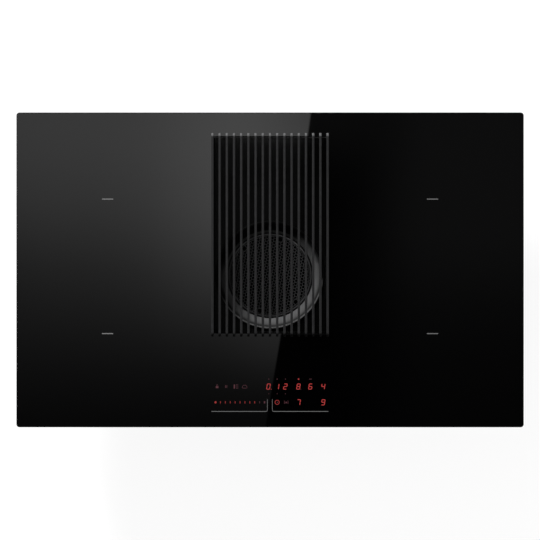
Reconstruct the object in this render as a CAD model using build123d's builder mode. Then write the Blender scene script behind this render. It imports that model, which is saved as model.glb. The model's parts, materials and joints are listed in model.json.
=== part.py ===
from build123d import *
from math import acos, cos, degrees, hypot, radians, sin, sqrt
import os

# Downdraft induction cooktop. Millimetres, +X to the right, +Y to the rear, +Z up.
# The origin lies under the middle of the glass, level with the underside of the fan casing.

# ---- Glass and worktop ----
glass_length = 830.0
glass_depth = 515.0
glass_thickness = 4.0
glass_corner_radius = 5.0
glass_bevel = 0.8
surface_level = 212.0
worktop_seal_thickness = 2.0
worktop_seal_width = 9.0
worktop_seal_inset = 1.5
worktop_thickness = 40.0

# ---- Opening in the glass ----
opening_rear_margin = 38.55
opening_front_margin = 153.15
opening_corner_radius = 5.4

# ---- Grille ----
bar_count = 17
bar_pitch = 11.75
bar_width = 4.0
bar_overhang = 4.85
outer_bar_overhang = 3.35
bar_height = 5.2
bar_end_radius = 4.0
bar_edge_radius = 1.2
grille_clearance = 0.6
skirt_wall = 1.8
skirt_depth = 14.0
skirt_root = 1.7
foot_thickness = 0.8
foot_radius = 1.6
foot_bar_count = 8

# ---- Intake well ----
tray_wall = 2.0
tray_setback = 1.0
tray_flange = 10.0
tray_seal_thickness = 2.0

# ---- Intake funnel and grease filter ----
intake_x = 0.0
intake_front_margin = 95.35
funnel_side_gap = 2.85
funnel_lip_width = 4.0
funnel_lip_height = 3.5
funnel_lip_radius = 1.2
funnel_slope_height = 16.0
funnel_run = 14.3
funnel_wall = 2.0
filter_seat_depth = 8.0
filter_shelf = 6.0
throat_seal_thickness = 2.0
tray_hole_clearance = 1.0
filter_side_clearance = 0.3
filter_height = 7.5
filter_band = 2.2
filter_ledge = 4.0
filter_ledge_height = 4.0
mesh_thickness = 1.0
mesh_side_clearance = 0.3
mesh_rim = 1.8
mesh_pitch = 7.4
mesh_web = 1.4
mesh_angle = 18.0
notch_count = 6
notch_angle = 14.0
notch_width = 5.0
notch_depth = 8.0
notch_setback = 6.7
notch_margin = 1.0

# ---- Sheet steel base pan ----
pan_side_setback = 22.0
pan_end_setback = 17.5
pan_corner_radius = 12.0
pan_rim = 4.0
sheet = 1.0
bay_height = 58.0
vent_length = 40.0
vent_width = 3.5
vent_pitch = 9.0
vent_count = 7
front_vent_count = 12
front_vent_height = 14.0
front_vent_level = 18.0

# ---- Worktop brackets ----
bracket_sheet = 1.5
bracket_width = 40.0
bracket_reach = 20.0
bracket_hole_reach = 12.0
bracket_hole_radius = 2.25
bracket_drop = 1.0
bracket_leg = 15.0
bracket_spacing = 300.0
bracket_screw_spacing = 26.0

# ---- Screws ----
screw_radius = 1.9
screw_hole_radius = 2.0
screw_head_radius = 3.6
screw_head_height = 2.2

# ---- Coils and carriers ----
carrier_tray_gap = 43.1
carrier_side_gap = 9.25
carrier_rear_gap = 16.0
carrier_front_gap = 28.0
former_gap = 22.0
coil_corner_radius = 60.0
coil_band = 66.0
coil_thickness = 5.0
mica_thickness = 0.8
former_thickness = 2.0
former_margin = 4.0
former_hole_radius = 16.0
ferrite_count = 8
ferrite_length = 52.0
ferrite_width = 12.0
ferrite_thickness = 5.0
ferrite_radius = 60.0
sensor_radius = 5.0
carrier_sheet = 1.5
carrier_margin = 8.0
carrier_lip = 6.0
spring_radius = 6.5
spring_bore = 5.0
spring_row_count = 3
spring_inset = 6.5

# ---- Power electronics in each bay ----
board_thickness = 1.6
board_lift = 8.0
standoff_radius = 3.0
standoff_inset = 8.0
power_board_spring_gap = 7.5
power_board_width = 190.0
power_board_shift = 4.25
power_board_y = 10.0
sink_length = 40.0
sink_depth = 150.0
sink_height = 28.0
sink_base = 4.0
sink_fin = 1.6
sink_fin_count = 7
sink_inset = 8.0
capacitor_radius = 11.0
capacitor_height = 25.0
capacitor_pitch = 30.0
choke_size = 34.0
choke_height = 26.0
choke_setback = 6.0
filter_board_length = 86.0
filter_board_width = 60.0
filter_board_shift = 30.0

# ---- Cooling blowers ----
blower_spring_gap = 3.75
blower_front_margin = 70.0
blower_size = 80.0
blower_height = 22.0
blower_wall = 2.0
blower_side_wall = 4.0
blower_rotor_gap = 4.0
blower_rotor_lift = 1.5
blower_rotor_height = 15.0
blower_hub_radius = 13.0
blower_vane_count = 21
blower_vane_inner = 24.0
blower_vane_thickness = 1.0
blower_pin_radius = 2.0
blower_pin_height = 14.0
blower_outlet = 50.0

# ---- Touch control ----
touch_front_margin = 59.5
touch_board_length = 196.0
touch_board_width = 56.0
display_height = 2.0
digit_block_length = 76.0
digit_block_width = 16.0
digit_block_x = 44.0
digit_block_shift = 7.5
slider_block_length = 62.0
slider_block_width = 8.0
slider_block_x = -60.0
slider_block_shift = -18.8
touch_frame_margin = 4.0
touch_frame_height = 6.0
touch_frame_wall = 2.0
touch_leg = 8.0

# ---- Mains connection ----
terminal_side_margin = 63.0
terminal_rear_margin = 50.0
terminal_box_length = 96.0
terminal_box_depth = 84.0
terminal_box_height = 34.0
terminal_box_wall = 2.5
terminal_cover_thickness = 2.0
terminal_block_length = 60.0
terminal_block_depth = 26.0
terminal_block_height = 20.0
terminal_way_pitch = 11.0
terminal_way_radius = 2.5
gland_bore_radius = 6.5
gland_thread_radius = 10.0
gland_nut_radius = 13.0
gland_nut_length = 9.0
gland_tail = 6.0
gland_clearance = 0.05
gland_level = 18.0
feed_hole_radius = 9.0

# ---- Fan casing ----
casing_height = 104.0
casing_wall = 2.5
casing_split = 50.0
casing_seal_thickness = 1.0
casing_flange = 9.0
casing_flange_thickness = 3.0
scroll_gap = 24.0
scroll_step = 18.0
duct_left = -58.0
mouth_setback = 21.5
tongue_radius = 8.0
neck_gap = 13.5
neck_flange = 12.0
neck_flange_thickness = 3.0
neck_screw_count = 6
neck_screw_start = 30.0
inlet_ring_wall = 2.5
inlet_ring_depth = 18.0
inlet_ring_flange = 9.0
inlet_ring_flange_thickness = 2.0
inlet_ring_clearance = 0.3
scroll_first_screw_angles = (135, 165)
scroll_second_screw_angles = (200, 235)
scroll_third_screw_angles = (275, 310, 345)
duct_right_screw_shares = (0.3, 0.75)
duct_left_screw_shares = (0.6, 0.92)
spigot_width = 222.0
spigot_height = 89.0
spigot_wall = 2.0
spigot_plate = 3.0
spigot_length = 14.0
spigot_corner_radius = 6.0
spigot_lead_in = 0.8

# ---- Fan motor and impeller ----
damper_count = 3
damper_radius = 8.0
damper_height = 7.5
damper_circle = 44.0
mount_plate_radius = 54.0
mount_plate_thickness = 2.0
driver_board_radius = 36.0
bearing_radius = 8.0
bearing_width = 6.0
bearing_tube_wall = 3.0
bearing_tube_height = 34.0
shaft_radius = 4.0
shaft_clearance = 0.05
press_clearance = 0.02
shaft_top_margin = 6.0
stator_radius = 29.5
stator_teeth = 9
stator_yoke_radius = 16.0
stator_tooth_width = 7.0
stator_tip = 2.5
stator_stack = 18.0
stator_lift = 9.0
winding_build = 2.0
magnet_gap = 0.5
magnet_thickness = 2.5
rotor_wall = 2.0
rotor_floor_gap = 6.0
impeller_radius = 92.0
impeller_blade_depth = 17.0
impeller_floor_gap = 20.0
impeller_plate = 2.5
impeller_height = 62.0
impeller_ring = 3.0
impeller_ring_width = 4.0
blade_count = 36
blade_thickness = 1.4
blade_sweep = 7.0
blade_inset = 1.0
hub_wall = 3.0
hub_clearance = 0.1

# ---- Levels and places that follow ----
glass_underside = surface_level - glass_thickness
worktop_level = glass_underside - worktop_seal_thickness
pan_floor = glass_underside - bay_height
pan_underside = pan_floor - sheet
tray_flange_top = glass_underside - tray_seal_thickness
tray_flange_underside = tray_flange_top - tray_wall
tray_floor = pan_floor + tray_wall
pan_length = glass_length - 2 * pan_side_setback
pan_width = glass_depth - 2 * pan_end_setback
opening_width = (bar_count - 1) * bar_pitch + bar_width - 2 * outer_bar_overhang
opening_depth = glass_depth - opening_rear_margin - opening_front_margin
opening_y = (opening_front_margin - opening_rear_margin) / 2
bar_length = opening_depth + 2 * bar_overhang
intake_y = opening_y - opening_depth / 2 + intake_front_margin
tray_inner_width = opening_width + 2 * tray_setback
tray_inner_depth = opening_depth + 2 * tray_setback
tray_corner_radius = opening_corner_radius + tray_setback
tray_outer_width = tray_inner_width + 2 * (tray_wall + tray_flange)
tray_outer_depth = tray_inner_depth + 2 * (tray_wall + tray_flange)
tray_outer_corner_radius = tray_corner_radius + tray_wall + tray_flange
funnel_mouth_radius = tray_inner_width / 2 - funnel_side_gap - funnel_lip_width
filter_seat_radius = funnel_mouth_radius - funnel_run
throat_radius = filter_seat_radius - filter_shelf
neck_radius = filter_seat_radius + neck_gap
funnel_lip_level = tray_floor + funnel_lip_height
funnel_slope_foot = funnel_lip_level - funnel_slope_height
filter_seat = funnel_slope_foot - filter_seat_depth
funnel_slant = hypot(funnel_run, funnel_slope_height)
funnel_shift = funnel_wall * funnel_slant / funnel_slope_height
throat_seal_foot = casing_height + inlet_ring_flange_thickness
throat_foot = throat_seal_foot + throat_seal_thickness
bars_underside = surface_level + foot_thickness
coil_top = glass_underside - mica_thickness
former_top = coil_top - coil_thickness
ferrite_top = former_top - former_thickness
carrier_top = ferrite_top - ferrite_thickness
carrier_underside = carrier_top - carrier_sheet
board_level = pan_floor + board_lift
board_top = board_level + board_thickness
seal_level = casing_split + casing_seal_thickness
carrier_inner = tray_outer_width / 2 + carrier_tray_gap
carrier_outer = pan_length / 2 - sheet - carrier_side_gap
carrier_rear = pan_width / 2 - sheet - carrier_rear_gap
carrier_front = carrier_front_gap - pan_width / 2 + sheet
carrier_length = carrier_outer - carrier_inner
carrier_depth = carrier_rear - carrier_front
carrier_y = (carrier_rear + carrier_front) / 2
coil_margin = former_margin + carrier_margin
coil_length = carrier_length - 2 * coil_margin
coil_width = (carrier_depth - 2 * coil_margin - former_gap) / 2 - former_margin
zone_x = (carrier_inner + carrier_outer) / 2
zone_rear_y = carrier_rear - coil_margin - coil_width / 2
zone_front_y = carrier_front + coil_margin + coil_width / 2
spring_span_x = carrier_length - 2 * (spring_radius + spring_inset)
spring_span_y = (carrier_depth - 2 * (spring_radius + spring_inset)) / (spring_row_count - 1)
power_board_length = spring_span_x - 2 * (spring_radius + power_board_spring_gap)
power_board_x = zone_x + power_board_shift
component_field = power_board_length - sink_inset - sink_length
component_x = power_board_x + (power_board_length - component_field) / 2
choke_pitch = component_field / 2 - choke_setback
blower_x = zone_x - spring_span_x / 2 + spring_radius + blower_spring_gap + blower_size / 2
blower_y = blower_front_margin - pan_width / 2
blower_cavity_radius = blower_size / 2 - blower_side_wall
blower_rotor_radius = blower_cavity_radius - blower_rotor_gap
touch_y = touch_front_margin - glass_depth / 2
terminal_x = terminal_side_margin - pan_length / 2
terminal_y = pan_width / 2 - terminal_rear_margin
filter_board_x = terminal_x + filter_board_shift
mouth_y = glass_depth / 2 - mouth_setback
impeller_inner_radius = impeller_radius - impeller_blade_depth
scroll_start_radius = impeller_radius + scroll_gap
scroll_end_radius = scroll_start_radius + 2 * scroll_step
scroll_first = (intake_x - scroll_step / 2, intake_y - scroll_step / 2)
scroll_second = (intake_x + scroll_step / 2, intake_y - scroll_step / 2)
scroll_third = (intake_x + scroll_step / 2, intake_y + scroll_step / 2)
duct_right = scroll_third[0] + scroll_end_radius
duct_x = (duct_left + duct_right) / 2
zones = {"rear": zone_rear_y, "front": zone_front_y}
sides = {"left": -1, "right": 1}


def level(height):
    """Horizontal plane at a height."""
    return Plane.XY.offset(height)


def intake_level(height):
    """Horizontal plane at a height, centred on the intake axis."""
    return Plane((intake_x, intake_y, height))


def well_level(height):
    """Horizontal plane at a height, centred on the opening in the glass."""
    return Plane((0, opening_y, height))


def scroll_profile(plane, grow):
    """Plan outline of the fan casing, with its wall line moved outwards by grow."""
    left = duct_left - grow
    right = duct_right + grow
    first_radius = scroll_start_radius + grow
    tongue_angle = degrees(acos((left - scroll_first[0]) / first_radius))
    with BuildSketch(plane, mode=Mode.PRIVATE) as profile:
        with BuildLine():
            start = CenterArc(scroll_first, first_radius, tongue_angle, 180 - tongue_angle)
            middle = CenterArc(scroll_second, first_radius + scroll_step, 180, 90)
            end = CenterArc(scroll_third, first_radius + 2 * scroll_step, 270, 90)
            Polyline(end @ 1, (right, mouth_y), (left, mouth_y), start @ 0)
        make_face()
        if tongue_radius > grow:
            tongue = profile.vertices().sort_by_distance((left, (start @ 0).Y))[0]
            fillet(tongue, radius=tongue_radius - grow)
    return profile.sketch


def screw_axes():
    """Places of the screws round the flange of the fan casing."""
    reach = casing_wall + casing_flange / 2
    spots = []
    arcs = (
        (scroll_first, scroll_start_radius, scroll_first_screw_angles),
        (scroll_second, scroll_start_radius + scroll_step, scroll_second_screw_angles),
        (scroll_third, scroll_end_radius, scroll_third_screw_angles),
    )
    for centre, radius, angles in arcs:
        for angle in angles:
            across = centre[0] + (radius + reach) * cos(radians(angle))
            along = centre[1] + (radius + reach) * sin(radians(angle))
            spots.append((across, along))
    for share in duct_right_screw_shares:
        spots.append((duct_right + reach, mouth_y * share))
    for share in duct_left_screw_shares:
        spots.append((duct_left - reach, mouth_y * share))
    return spots


def polar_spots(radius, count, start):
    """Evenly spaced places on a circle about the intake axis."""
    spots = []
    for index in range(count):
        turn = radians(start + 360 * index / count)
        spots.append((intake_x + radius * cos(turn), intake_y + radius * sin(turn)))
    return spots


def mesh_cells(open_radius):
    """Centres of the mesh holes that lie whole inside the rim and clear of the notches."""
    cell_radius = (mesh_pitch - mesh_web) / sqrt(3)
    reach = int(open_radius / mesh_pitch) + 2
    keep_off = hypot(notch_width, notch_depth) / 2 + notch_margin
    cells = []
    for row in range(-2 * reach, 2 * reach + 1):
        for column in range(-2 * reach, 2 * reach + 1):
            across = mesh_pitch * (column + row / 2)
            along = mesh_pitch * row * sqrt(3) / 2
            turn = radians(mesh_angle)
            x = across * cos(turn) - along * sin(turn)
            y = across * sin(turn) + along * cos(turn)
            if hypot(x, y) + cell_radius > open_radius:
                continue
            clear = True
            for index in range(notch_count):
                angle = radians(notch_angle + 360 * index / notch_count)
                gap = hypot(x - notch_radius * cos(angle), y - notch_radius * sin(angle))
                clear = clear and gap > keep_off
            if clear:
                cells.append((x, y))
    return cells


os.makedirs("parts", exist_ok=True)

# ---- Glass surface ----
with BuildPart() as glass_top:
    with BuildSketch(level(glass_underside)):
        RectangleRounded(glass_length, glass_depth, glass_corner_radius)
    extrude(amount=glass_thickness)
    chamfer(glass_top.faces().sort_by(Axis.Z)[-1].edges(), length=glass_bevel)
    with BuildSketch(well_level(glass_underside)):
        RectangleRounded(opening_width, opening_depth, opening_corner_radius)
    extrude(amount=glass_thickness, mode=Mode.SUBTRACT)
glass_top.part.label = "glass_top"
export_step(glass_top.part, "parts/glass_top.step")

with BuildPart() as worktop_seal:
    seal_length = glass_length - 2 * worktop_seal_inset
    seal_depth = glass_depth - 2 * worktop_seal_inset
    with BuildSketch(level(worktop_level)):
        RectangleRounded(seal_length, seal_depth, glass_corner_radius)
        Rectangle(
            seal_length - 2 * worktop_seal_width,
            seal_depth - 2 * worktop_seal_width,
            mode=Mode.SUBTRACT,
        )
    extrude(amount=worktop_seal_thickness)
worktop_seal.part.label = "worktop_seal"
export_step(worktop_seal.part, "parts/worktop_seal.step")

# ---- Cast grille: bars on a skirt that drops into the opening ----
with BuildPart() as grille_bar:
    with BuildSketch(Plane.YZ.offset(-bar_width / 2)) as bar_side:
        with Locations((0, bar_height / 2)):
            Rectangle(bar_length, bar_height)
        fillet(bar_side.vertices().group_by(Axis.Y)[-1], radius=bar_end_radius)
    extrude(amount=bar_width)
    upper = grille_bar.faces().filter_by(Axis.X).edges()
    fillet(upper.filter_by(lambda edge: edge.center().Z > bar_height / 2), radius=bar_edge_radius)

skirt_width = opening_width - 2 * grille_clearance
skirt_length = opening_depth - 2 * grille_clearance
skirt_corner_radius = opening_corner_radius - grille_clearance
with BuildPart() as suction_grille:
    with BuildSketch(well_level(surface_level - skirt_depth)):
        RectangleRounded(skirt_width, skirt_length, skirt_corner_radius)
        Rectangle(skirt_width - 2 * skirt_wall, skirt_length - 2 * skirt_wall, mode=Mode.SUBTRACT)
    extrude(amount=skirt_depth + foot_thickness + skirt_root)
    with BuildSketch(well_level(bars_underside)):
        Rectangle((bar_count - 1) * bar_pitch, skirt_length)
        Rectangle(skirt_width - 2 * skirt_wall, skirt_length - 2 * skirt_wall, mode=Mode.SUBTRACT)
    extrude(amount=skirt_root)
    with Locations(well_level(bars_underside)):
        with GridLocations(bar_pitch, 1, bar_count, 1):
            add(grille_bar.part)
suction_grille.part.label = "suction_grille"
export_step(suction_grille.part, "parts/suction_grille.step")

with BuildPart() as grille_feet:
    with BuildSketch(well_level(surface_level)):
        with GridLocations(foot_bar_count * bar_pitch, opening_depth + bar_overhang, 3, 2):
            Circle(foot_radius)
    extrude(amount=foot_thickness)
grille_feet.part.label = "grille_feet"
export_step(grille_feet.part, "parts/grille_feet.step")

# ---- Well under the opening ----
with BuildPart() as intake_tray:
    with BuildSketch(well_level(pan_floor)):
        RectangleRounded(
            tray_inner_width + 2 * tray_wall,
            tray_inner_depth + 2 * tray_wall,
            tray_corner_radius + tray_wall,
        )
    extrude(amount=tray_flange_top - pan_floor)
    with BuildSketch(well_level(tray_flange_underside)):
        RectangleRounded(tray_outer_width, tray_outer_depth, tray_outer_corner_radius)
    extrude(amount=tray_wall)
    with BuildSketch(well_level(tray_floor)):
        RectangleRounded(tray_inner_width, tray_inner_depth, tray_corner_radius)
    extrude(amount=tray_flange_top - tray_floor, mode=Mode.SUBTRACT)
    with BuildSketch(intake_level(pan_floor)):
        Circle(funnel_mouth_radius + tray_hole_clearance)
    extrude(amount=tray_wall, mode=Mode.SUBTRACT)
intake_tray.part.label = "intake_tray"
export_step(intake_tray.part, "parts/intake_tray.step")

with BuildPart() as intake_seal:
    with BuildSketch(well_level(tray_flange_top)):
        RectangleRounded(tray_outer_width, tray_outer_depth, tray_outer_corner_radius)
        RectangleRounded(tray_inner_width, tray_inner_depth, tray_corner_radius, mode=Mode.SUBTRACT)
    extrude(amount=tray_seal_thickness)
intake_seal.part.label = "intake_seal"
export_step(intake_seal.part, "parts/intake_seal.step")


def funnel_back(height):
    """Radius of the funnel's outer face at a height on its slope."""
    rise = height - funnel_slope_foot
    return filter_seat_radius + rise * funnel_run / funnel_slope_height + funnel_shift


with BuildPart() as intake_funnel:
    lip_radius = funnel_mouth_radius + funnel_lip_width
    seat_back = filter_seat_radius + funnel_wall
    seat_back_top = funnel_slope_foot + (funnel_wall - funnel_shift) * funnel_slope_height / funnel_run
    with BuildSketch(Plane((intake_x, intake_y, 0), x_dir=(1, 0, 0), z_dir=(0, -1, 0))) as funnel_half:
        with BuildLine():
            Polyline(
                (funnel_mouth_radius, funnel_lip_level),
                (filter_seat_radius, funnel_slope_foot),
                (filter_seat_radius, filter_seat),
                (throat_radius, filter_seat),
                (throat_radius, throat_foot),
                (throat_radius + funnel_wall, throat_foot),
                (throat_radius + funnel_wall, filter_seat - funnel_wall),
                (seat_back, filter_seat - funnel_wall),
                (seat_back, seat_back_top),
                (funnel_back(tray_floor), tray_floor),
                (lip_radius, tray_floor),
                (lip_radius, funnel_lip_level),
                close=True,
            )
        make_face()
        fillet(funnel_half.vertices().group_by(Axis.Y)[-1], radius=funnel_lip_radius)
    revolve(axis=Axis((intake_x, intake_y, 0), (0, 0, 1)))
intake_funnel.part.label = "intake_funnel"
export_step(intake_funnel.part, "parts/intake_funnel.step")

# ---- Grease filter that lifts out of the funnel ----
frame_radius = filter_seat_radius - filter_side_clearance
frame_inner_radius = frame_radius - filter_band
with BuildPart() as filter_frame:
    with BuildSketch(intake_level(filter_seat)):
        Circle(frame_radius)
        Circle(frame_inner_radius - filter_ledge, mode=Mode.SUBTRACT)
    extrude(amount=filter_height)
    with BuildSketch(intake_level(filter_seat + filter_ledge_height)):
        Circle(frame_inner_radius)
    extrude(amount=filter_height - filter_ledge_height, mode=Mode.SUBTRACT)
    chamfer(filter_frame.edges().group_by(Axis.Z)[-1], length=filter_band / 4)
filter_frame.part.label = "filter_frame"
export_step(filter_frame.part, "parts/filter_frame.step")

mesh_radius = frame_inner_radius - mesh_side_clearance
notch_radius = mesh_radius - notch_setback
with BuildPart() as filter_mesh:
    with BuildSketch(intake_level(filter_seat + filter_ledge_height)):
        Circle(mesh_radius)
        with PolarLocations(notch_radius, notch_count, start_angle=notch_angle):
            Rectangle(notch_depth, notch_width, mode=Mode.SUBTRACT)
        with Locations(*mesh_cells(mesh_radius - mesh_rim)):
            RegularPolygon(
                (mesh_pitch - mesh_web) / sqrt(3),
                6,
                rotation=mesh_angle + 30,
                mode=Mode.SUBTRACT,
            )
    extrude(amount=mesh_thickness)
filter_mesh.part.label = "filter_mesh"
export_step(filter_mesh.part, "parts/filter_mesh.step")

# ---- Base pan ----
neck_outer_radius = neck_radius + casing_wall
neck_screw_radius = neck_outer_radius + neck_flange / 2
neck_screws = polar_spots(neck_screw_radius, neck_screw_count, neck_screw_start)
with BuildPart() as base_pan:
    with BuildSketch(level(pan_underside)):
        RectangleRounded(pan_length, pan_width, pan_corner_radius)
    extrude(amount=bay_height + sheet)
    with BuildSketch(level(glass_underside - sheet)):
        RectangleRounded(pan_length + 2 * pan_rim, pan_width + 2 * pan_rim, pan_corner_radius + pan_rim)
    extrude(amount=sheet)
    with BuildSketch(level(pan_floor)):
        RectangleRounded(pan_length - 2 * sheet, pan_width - 2 * sheet, pan_corner_radius - sheet)
    extrude(amount=bay_height, mode=Mode.SUBTRACT)
    with BuildSketch(level(pan_underside)):
        with Locations((intake_x, intake_y)):
            Circle(neck_radius)
        with Locations(*neck_screws):
            Circle(screw_hole_radius)
        for side in sides.values():
            with Locations((side * blower_x, blower_y)):
                with GridLocations(1, vent_pitch, 1, vent_count):
                    SlotOverall(vent_length, vent_width)
        with Locations((terminal_x, terminal_y)):
            Circle(feed_hole_radius)
    extrude(amount=sheet, mode=Mode.SUBTRACT)
    with BuildSketch(Plane.XZ.offset(pan_width / 2 - sheet)):
        for side in sides.values():
            with Locations((side * zone_x, pan_floor + front_vent_level)):
                with GridLocations(vent_pitch, 1, front_vent_count, 1):
                    SlotOverall(front_vent_height, vent_width, rotation=90)
    extrude(amount=sheet, mode=Mode.SUBTRACT)
    bracket_top = worktop_level - worktop_thickness - bracket_drop
    bracket_screw_level = bracket_top - bracket_leg / 2
    with BuildSketch(Plane.YZ.offset(-pan_length / 2)):
        for row in (-bracket_spacing / 2, bracket_spacing / 2):
            with Locations((row, bracket_screw_level)):
                with GridLocations(bracket_screw_spacing, 1, 2, 1):
                    Circle(screw_hole_radius)
    extrude(amount=pan_length, mode=Mode.SUBTRACT)
base_pan.part.label = "base_pan"
export_step(base_pan.part, "parts/base_pan.step")

# ---- Brackets under the worktop ----
with BuildPart() as worktop_bracket:
    with BuildSketch(Plane.XZ.offset(-bracket_width / 2)):
        with BuildLine():
            Polyline(
                (0, bracket_top - bracket_leg),
                (0, bracket_top),
                (bracket_reach, bracket_top),
                (bracket_reach, bracket_top - bracket_sheet),
                (bracket_sheet, bracket_top - bracket_sheet),
                (bracket_sheet, bracket_top - bracket_leg),
                close=True,
            )
        make_face()
    extrude(amount=bracket_width)
    with BuildSketch(level(bracket_top - bracket_sheet)):
        with Locations((bracket_hole_reach, 0)):
            Circle(bracket_hole_radius)
    extrude(amount=bracket_sheet, mode=Mode.SUBTRACT)
    with BuildSketch(Plane.YZ):
        with Locations((0, bracket_screw_level)):
            with GridLocations(bracket_screw_spacing, 1, 2, 1):
                Circle(screw_hole_radius)
    extrude(amount=bracket_sheet, mode=Mode.SUBTRACT)

with BuildPart() as worktop_brackets:
    for row in (-bracket_spacing / 2, bracket_spacing / 2):
        with Locations(Location((pan_length / 2, row, 0)), Location((-pan_length / 2, row, 0), (0, 0, 180))):
            add(worktop_bracket.part)
worktop_brackets.part.label = "worktop_brackets"
export_step(worktop_brackets.part, "parts/worktop_brackets.step")

with BuildPart() as bracket_screws:
    head_face = pan_length / 2 + bracket_sheet
    for side in sides.values():
        for row in (-bracket_spacing / 2, bracket_spacing / 2):
            for shift in (-bracket_screw_spacing / 2, bracket_screw_spacing / 2):
                spot = (side * head_face, row + shift, bracket_screw_level)
                with BuildSketch(Plane(spot, x_dir=(0, 1, 0), z_dir=(side, 0, 0))):
                    Circle(screw_head_radius)
                extrude(amount=screw_head_height)
                with BuildSketch(Plane(spot, x_dir=(0, 1, 0), z_dir=(-side, 0, 0))):
                    Circle(screw_radius)
                extrude(amount=bracket_sheet + sheet)
bracket_screws.part.label = "bracket_screws"
export_step(bracket_screws.part, "parts/bracket_screws.step")

# ---- Induction coils, each on a former with ferrite bars under it ----
for row, zone_y in zones.items():
    for side, sign in sides.items():
        with BuildPart() as induction_coil:
            with BuildSketch(Plane((sign * zone_x, zone_y, former_top))):
                RectangleRounded(coil_length, coil_width, coil_corner_radius)
                RectangleRounded(
                    coil_length - 2 * coil_band,
                    coil_width - 2 * coil_band,
                    (min(coil_length, coil_width) - 2 * coil_band) / 3,
                    mode=Mode.SUBTRACT,
                )
            extrude(amount=coil_thickness)
        induction_coil.part.label = f"coil_{row}_{side}"
        export_step(induction_coil.part, f"parts/coil_{row}_{side}.step")

zone_spots = [(sign * zone_x, zone_y) for sign in sides.values() for zone_y in zones.values()]
with BuildPart() as coil_formers:
    with BuildSketch(level(ferrite_top)):
        with Locations(*zone_spots):
            RectangleRounded(
                coil_length + 2 * former_margin,
                coil_width + 2 * former_margin,
                coil_corner_radius + former_margin,
            )
            Circle(former_hole_radius, mode=Mode.SUBTRACT)
    extrude(amount=former_thickness)
coil_formers.part.label = "coil_formers"
export_step(coil_formers.part, "parts/coil_formers.step")

with BuildPart() as ferrite_bars:
    with BuildSketch(level(carrier_top)):
        for spot in zone_spots:
            with Locations(spot):
                with PolarLocations(ferrite_radius, ferrite_count):
                    Rectangle(ferrite_length, ferrite_width)
    extrude(amount=ferrite_thickness)
ferrite_bars.part.label = "ferrite_bars"
export_step(ferrite_bars.part, "parts/ferrite_bars.step")

with BuildPart() as mica_sheets:
    with BuildSketch(level(coil_top)):
        with Locations(*zone_spots):
            Rectangle(coil_length, coil_width)
    extrude(amount=mica_thickness)
mica_sheets.part.label = "mica_sheets"
export_step(mica_sheets.part, "parts/mica_sheets.step")

with BuildPart() as temperature_sensors:
    with BuildSketch(level(carrier_top)):
        with Locations(*zone_spots):
            Circle(sensor_radius)
    extrude(amount=coil_top - carrier_top)
temperature_sensors.part.label = "temperature_sensors"
export_step(temperature_sensors.part, "parts/temperature_sensors.step")

for side, sign in sides.items():
    with BuildPart() as coil_carrier:
        with BuildSketch(Plane((sign * zone_x, carrier_y, carrier_underside))):
            Rectangle(carrier_length, carrier_depth)
        extrude(amount=carrier_sheet)
        with BuildSketch(Plane((sign * zone_x, carrier_y, carrier_underside - carrier_lip))):
            Rectangle(carrier_length, carrier_depth)
            Rectangle(
                carrier_length - 2 * carrier_sheet,
                carrier_depth - 2 * carrier_sheet,
                mode=Mode.SUBTRACT,
            )
        extrude(amount=carrier_lip)
    coil_carrier.part.label = f"coil_carrier_{side}"
    export_step(coil_carrier.part, f"parts/coil_carrier_{side}.step")

with BuildPart() as carrier_springs:
    with BuildSketch(level(pan_floor)):
        for sign in sides.values():
            with Locations((sign * zone_x, carrier_y)):
                with GridLocations(spring_span_x, spring_span_y, 2, spring_row_count):
                    Circle(spring_radius)
                    Circle(spring_bore, mode=Mode.SUBTRACT)
    extrude(amount=carrier_underside - pan_floor)
carrier_springs.part.label = "carrier_springs"
export_step(carrier_springs.part, "parts/carrier_springs.step")

# ---- Power electronics ----
for side, sign in sides.items():
    with BuildPart() as power_board:
        with BuildSketch(Plane((sign * power_board_x, power_board_y, board_level))):
            Rectangle(power_board_length, power_board_width)
        extrude(amount=board_thickness)
    power_board.part.label = f"power_board_{side}"
    export_step(power_board.part, f"parts/power_board_{side}.step")

    sink_x = sign * (power_board_x - power_board_length / 2 + sink_inset + sink_length / 2)
    with BuildPart() as heat_sink:
        with BuildSketch(Plane((sink_x, power_board_y, board_top))):
            Rectangle(sink_length, sink_depth)
        extrude(amount=sink_base)
        with BuildSketch(Plane((sink_x, power_board_y, board_top + sink_base))):
            with GridLocations((sink_length - sink_fin) / (sink_fin_count - 1), 1, sink_fin_count, 1):
                Rectangle(sink_fin, sink_depth)
        extrude(amount=sink_height - sink_base)
    heat_sink.part.label = f"heat_sink_{side}"
    export_step(heat_sink.part, f"parts/heat_sink_{side}.step")

with BuildPart() as board_components:
    for sign in sides.values():
        with BuildSketch(Plane((sign * component_x, power_board_y, board_top))):
            with Locations((0, power_board_width / 4)):
                with GridLocations(capacitor_pitch, capacitor_pitch, 3, 2):
                    Circle(capacitor_radius)
        extrude(amount=capacitor_height)
        with BuildSketch(Plane((sign * component_x, power_board_y, board_top))):
            with Locations((0, -power_board_width / 4)):
                with GridLocations(choke_pitch, 1, 2, 1):
                    RectangleRounded(choke_size, choke_size, choke_size / 8)
        extrude(amount=choke_height)
board_components.part.label = "board_components"
export_step(board_components.part, "parts/board_components.step")

with BuildPart() as mains_filter_board:
    with BuildSketch(Plane((filter_board_x, terminal_y, board_level))):
        Rectangle(filter_board_length, filter_board_width)
    extrude(amount=board_thickness)
    with BuildSketch(Plane((filter_board_x, terminal_y, board_top))):
        with GridLocations(choke_size, 1, 2, 1):
            Circle(choke_size / 3)
    extrude(amount=choke_height / 2)
mains_filter_board.part.label = "mains_filter_board"
export_step(mains_filter_board.part, "parts/mains_filter_board.step")

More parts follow.
